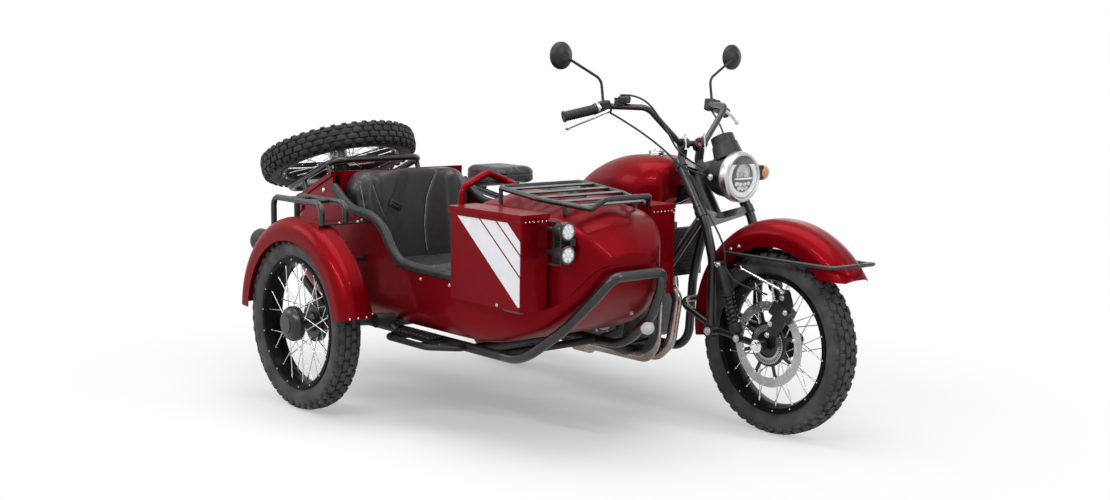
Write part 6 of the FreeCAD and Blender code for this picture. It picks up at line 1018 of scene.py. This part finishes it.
# Sidecar: the step's tread and the boss of the frame's joint
tread = block((222, 66, 8), at(620, -897, 317.5) * 1000, 3.0)
piece(smooth(tread, 30), "step_tread", "chassis", soft_rubber)
boss = lathe([(13, -16), (23, -14), (24.5, -10), (24.5, 4), (22, 7), (16, 7.5), (16, 11), (12, 13), (6, 13)],
             40, 30)
stood(boss, at(1296, -424, 388), (0.78, -0.6, -0.16))
piece(boss, "frame_joint_boss", "chassis", brushed_steel)

# Toolboxes: stepped rims and the strip under the floor
RIM, RIM_GAP, RIM_LEVEL = 3.0, 0.1, 776.5
BOX_REAR, BOX_FRONT = 880, 1260
strips = []
for outer, inner, side in ((-950, -836, -1), (-272, -386, 1)):
    reach = RIM / 2 + RIM_GAP
    strips.append(block((386, RIM, 11), at(1070, outer + side * reach, RIM_LEVEL) * 1000, 0.9))
    for x in (BOX_REAR - reach, BOX_FRONT + reach):
        strips.append(block((RIM, 112, 11), at(x, (outer + inner) / 2, RIM_LEVEL) * 1000, 0.9))
strips.append(block((2, 5, 278), at(BOX_FRONT + 1.1, -947.4, 630) * 1000, 0.6))
strips.append(block((RIM, 9, 278), at(BOX_FRONT + reach, -276.5, 630) * 1000, 0.9))
piece(joined(strips), "box_rim_strips", "chassis", red_gloss)
ledge = block((88, 13, 5), at(1214, -943, 485.2) * 1000, 1.2)
piece(ledge, "box_floor_strip", "chassis", black_satin)

# Handlebar: ribbed grips, switch housings, lever clamps and a red button
GRIP_END, BAR_ELBOW = (838, 420, 1083), (902, 262, 1121)
GRIP_LONG = 128
CLAMP_AT, BUTTON_AT, SWITCH_AT = 0.134, 0.150, 0.160  # along the bar, in metres


def grip_model():
    stations = [(14, -1), (20.5, -0.5), (20.8, 5), (17.8, 7)]
    for i in range(13):
        start = 12 + i * 8.2
        stations += [(17.4, start), (18.3, start + 1.4), (18.3, start + 5.2), (17.4, start + 6.6)]
    stations += [(18, GRIP_LONG - 6), (22, GRIP_LONG - 4), (22, GRIP_LONG), (19, GRIP_LONG + 1)]
    return lathe(stations, 32, 30)


grip = grip_model()
for side, name, _ in SIDES:
    end = at(GRIP_END[0], GRIP_END[1] * side, GRIP_END[2])
    elbow = at(BAR_ELBOW[0], BAR_ELBOW[1] * side, BAR_ELBOW[2])
    along = (elbow - end).normalized()
    piece(placed(grip, frame_at(end, along)), f"{name}_grip", "fork", soft_rubber)
    housing = joined([block((46, 44, 40), edge=7, segments=3), block((30, 26, 20), (4, -24, 2), 4),
                      block((12, 10, 8), (-12, -25, 8), 2)])
    stood(housing, end + along * SWITCH_AT, along, 90)
    piece(housing, f"{name}_switch_housing", "fork", black_plastic)
    clamp_ring = lathe([(16, -9), (19.5, -9), (20.5, -7), (20.5, 7), (19.5, 9), (16, 9)], 32, 30)
    stood(clamp_ring, end + along * CLAMP_AT, along)
    piece(clamp_ring, f"{name}_lever_clamp", "fork", brushed_steel)
    button = lathe([(5.5, -2), (5.5, 3), (4, 4.2), (1, 4.5)], 20, 40)
    stood(button, end + along * BUTTON_AT + UP * 0.0225, UP)
    piece(button, f"{name}_button", "fork", red_lens)
drop(grip)
reservoir = stood(block((44, 34, 26), edge=6, segments=3), at(962, -240, 1146), (0.1, 0, 1), 20)
piece(reservoir, "brake_reservoir", "fork", black_plastic)

# Mirror glasses, lamps at the rear, filler cap
for side, name, _ in SIDES:
    glass = lathe([(46, 0.1), (46, 1.2), (43, 2.0), (20, 2.4), (4, 2.5)], 64, 40)
    piece(stood(glass, at(840, 440 * side, 1300), BACK), f"{name}_mirror_glass", "fork", mirror_glass)
for name, place in (("tail_lens", at(-236, 0, 742)), ("sidecar_rear_lens", at(-352, -983, 556))):
    lens = lathe([(45.8, -9), (46.9, -8), (46.9, -4), (41, 1.5), (34, 4), (20, 5.8), (5, 6.3)], 64, 60)
    piece(stood(lens, place, BACK), name, "chassis", red_lens)
filler = lathe([(35, -16), (35, -4), (33.5, -2.5), (34.5, -1.5), (34.5, 0.6), (31, 2), (12, 2.6)], 64, 30)
filler = joined([filler, smooth(block((30, 9, 5), (0, 0, 4), 1.6), 30)])
filler.data.transform(Matrix.Translation(at(892, 0, 951.4)))
piece(filler, "filler_cap", "chassis", bright_plate, "chrome")

# Engine covers: plates and screws, on both sides
COVER_SCREWS = 8
plates, screws = [], []
for side, _, facing in SIDES:
    for x, reach in ((781, 92), (594, 66)):
        rings = ((0.74, 0), (0.74, 2.5), (0.68, 4.5), (0.3, 4.5), (0.26, 7), (0.1, 7))
        plate = lathe([(reach * share, height) for share, height in rings], 64, 30)
        plates.append(stood(plate, at(x, 162 * side, 341), facing))
        for i in range(COVER_SCREWS):
            turn = 2 * math.pi * (i + 0.5) / COVER_SCREWS
            ahead, rise = reach * 0.87 * math.cos(turn), reach * 0.87 * math.sin(turn)
            screws.append((at(x + ahead, 162.1 * side, 341 + rise), facing))
piece(joined(plates), "engine_cover_plates", "chassis", cast_alloy)
fasten("engine_cover_screws", "chassis", zinc_bolt, cap_screw, screws, 0.75)
drop(cap_screw, hex_nut, rivet)

# Floor, light and camera
def sees(tree, *rays):
    """1 where a ray of one of these kinds arrives, else 0."""
    path = tree.nodes.new("ShaderNodeLightPath")
    share, *others = [path.outputs[f"Is {ray} Ray"] for ray in rays]
    for other in others:
        share = add_node(tree, "Math", {0: share, 1: other}, operation="MAXIMUM").outputs["Value"]
    return share


def blend(tree, share, one, other, end):
    """Sends a blend of two shaders to the tree's end."""
    mixed = add_node(tree, "MixShader", {"Fac": share, 1: one, 2: other})
    feed(tree.nodes[end], {"Surface": mixed.outputs["Shader"]})


put_down()
bpy.ops.mesh.primitive_plane_add(size=60)
floor = bpy.context.object
floor.name = "studio_floor"
paper = bpy.data.materials.new("pale_floor")
paper.use_nodes = True
tree = paper.node_tree
ground = feed(tree.nodes["Principled BSDF"],
              {"Base Color": (0.86, 0.86, 0.87, 1), "Roughness": 0.75, "Specular IOR Level": 0.1})
# The floor fades to white away from the vehicle, to the eye and in its reflections
place = tree.nodes.new("ShaderNodeTexCoord").outputs["Object"]
away = add_node(tree, "VectorMath", {0: place}, operation="LENGTH").outputs["Value"]
fade = add_node(tree, "MapRange", {"Value": away, "From Min": 0.35, "From Max": 2.3, "To Min": 0.33},
                interpolation_type="SMOOTHSTEP").outputs["Result"]
share = add_node(tree, "Math", {0: fade, 1: sees(tree, "Camera", "Glossy")}, operation="MULTIPLY")
white = tree.nodes.new("ShaderNodeEmission")
blend(tree, share.outputs["Value"], ground.outputs["BSDF"], white.outputs["Emission"], "Material Output")
floor.data.materials.append(paper)

# The world is white to the eye and in reflections, and grey as a light
world = bpy.data.worlds.new("studio")
bpy.context.scene.world = world
world.use_nodes = True
tree = world.node_tree
plain = feed(tree.nodes["Background"], {"Color": (0.62, 0.63, 0.65, 1), "Strength": 0.30})
backdrop = add_node(tree, "Background", {"Color": (1, 1, 1, 1)})
blend(tree, sees(tree, "Camera", "Glossy", "Transmission"), plain.outputs["Background"],
      backdrop.outputs["Background"], "World Output")


def soft_light(name, place, target, size, power):
    """A rectangular area light aimed at a target, its power in watts."""
    lamp = bpy.data.lights.new(name, "AREA")
    lamp.shape = "RECTANGLE"
    lamp.size, lamp.size_y = size
    lamp.energy = power
    thing = made_of(name, lamp)
    thing.location = place
    thing.rotation_euler = (Vector(target) - Vector(place)).to_track_quat("-Z", "Y").to_euler()


soft_light("ceiling_panel", (0.1, -0.3, 3.4), (0, 0, 0), (3.6, 2.0), 86)
soft_light("front_strip", (3.2, 0.9, 2.4), (0.6, 0, 0.5), (0.16, 2.4), 30)
soft_light("side_strip", (1.0, -3.3, 2.9), (0.1, -0.2, 0.5), (2.8, 0.2), 60)
soft_light("rear_side_panel", (-2.4, -2.6, 2.2), (-0.2, 0, 0.5), (1.4, 1.2), 24)
soft_light("far_panel", (-1.0, 4.0, 2.2), (0, 0, 0.6), (3.0, 1.4), 24)

# The photo's camera, solved from the wheels and the boxes
CAMERA_AT = at(4853, -3860, 1313)
FOCAL_PIXELS, PHOTO_WIDTH = 1476.0, 1110.0
TURN, RISE, ROLL = math.radians(49.67), math.radians(7.65), math.radians(0.71)
camera = bpy.data.cameras.new("camera")
camera.sensor_width, camera.lens = 36.0, FOCAL_PIXELS / PHOTO_WIDTH * 36.0
camera.clip_start, camera.clip_end = 0.1, 200
viewer = made_of("camera", camera)
back = Vector((math.sin(TURN) * math.cos(RISE), -math.cos(TURN) * math.cos(RISE), math.sin(RISE)))
right = (-back).cross(UP).normalized()
up = right.cross(-back)
right, up = right * math.cos(ROLL) + up * math.sin(ROLL), up * math.cos(ROLL) - right * math.sin(ROLL)
turned_to = Matrix((right, up, back)).transposed().to_4x4()
viewer.matrix_world = Matrix.Translation(CAMERA_AT) @ turned_to
bpy.context.scene.camera = viewer
bpy.context.scene.view_settings.view_transform = "Standard"
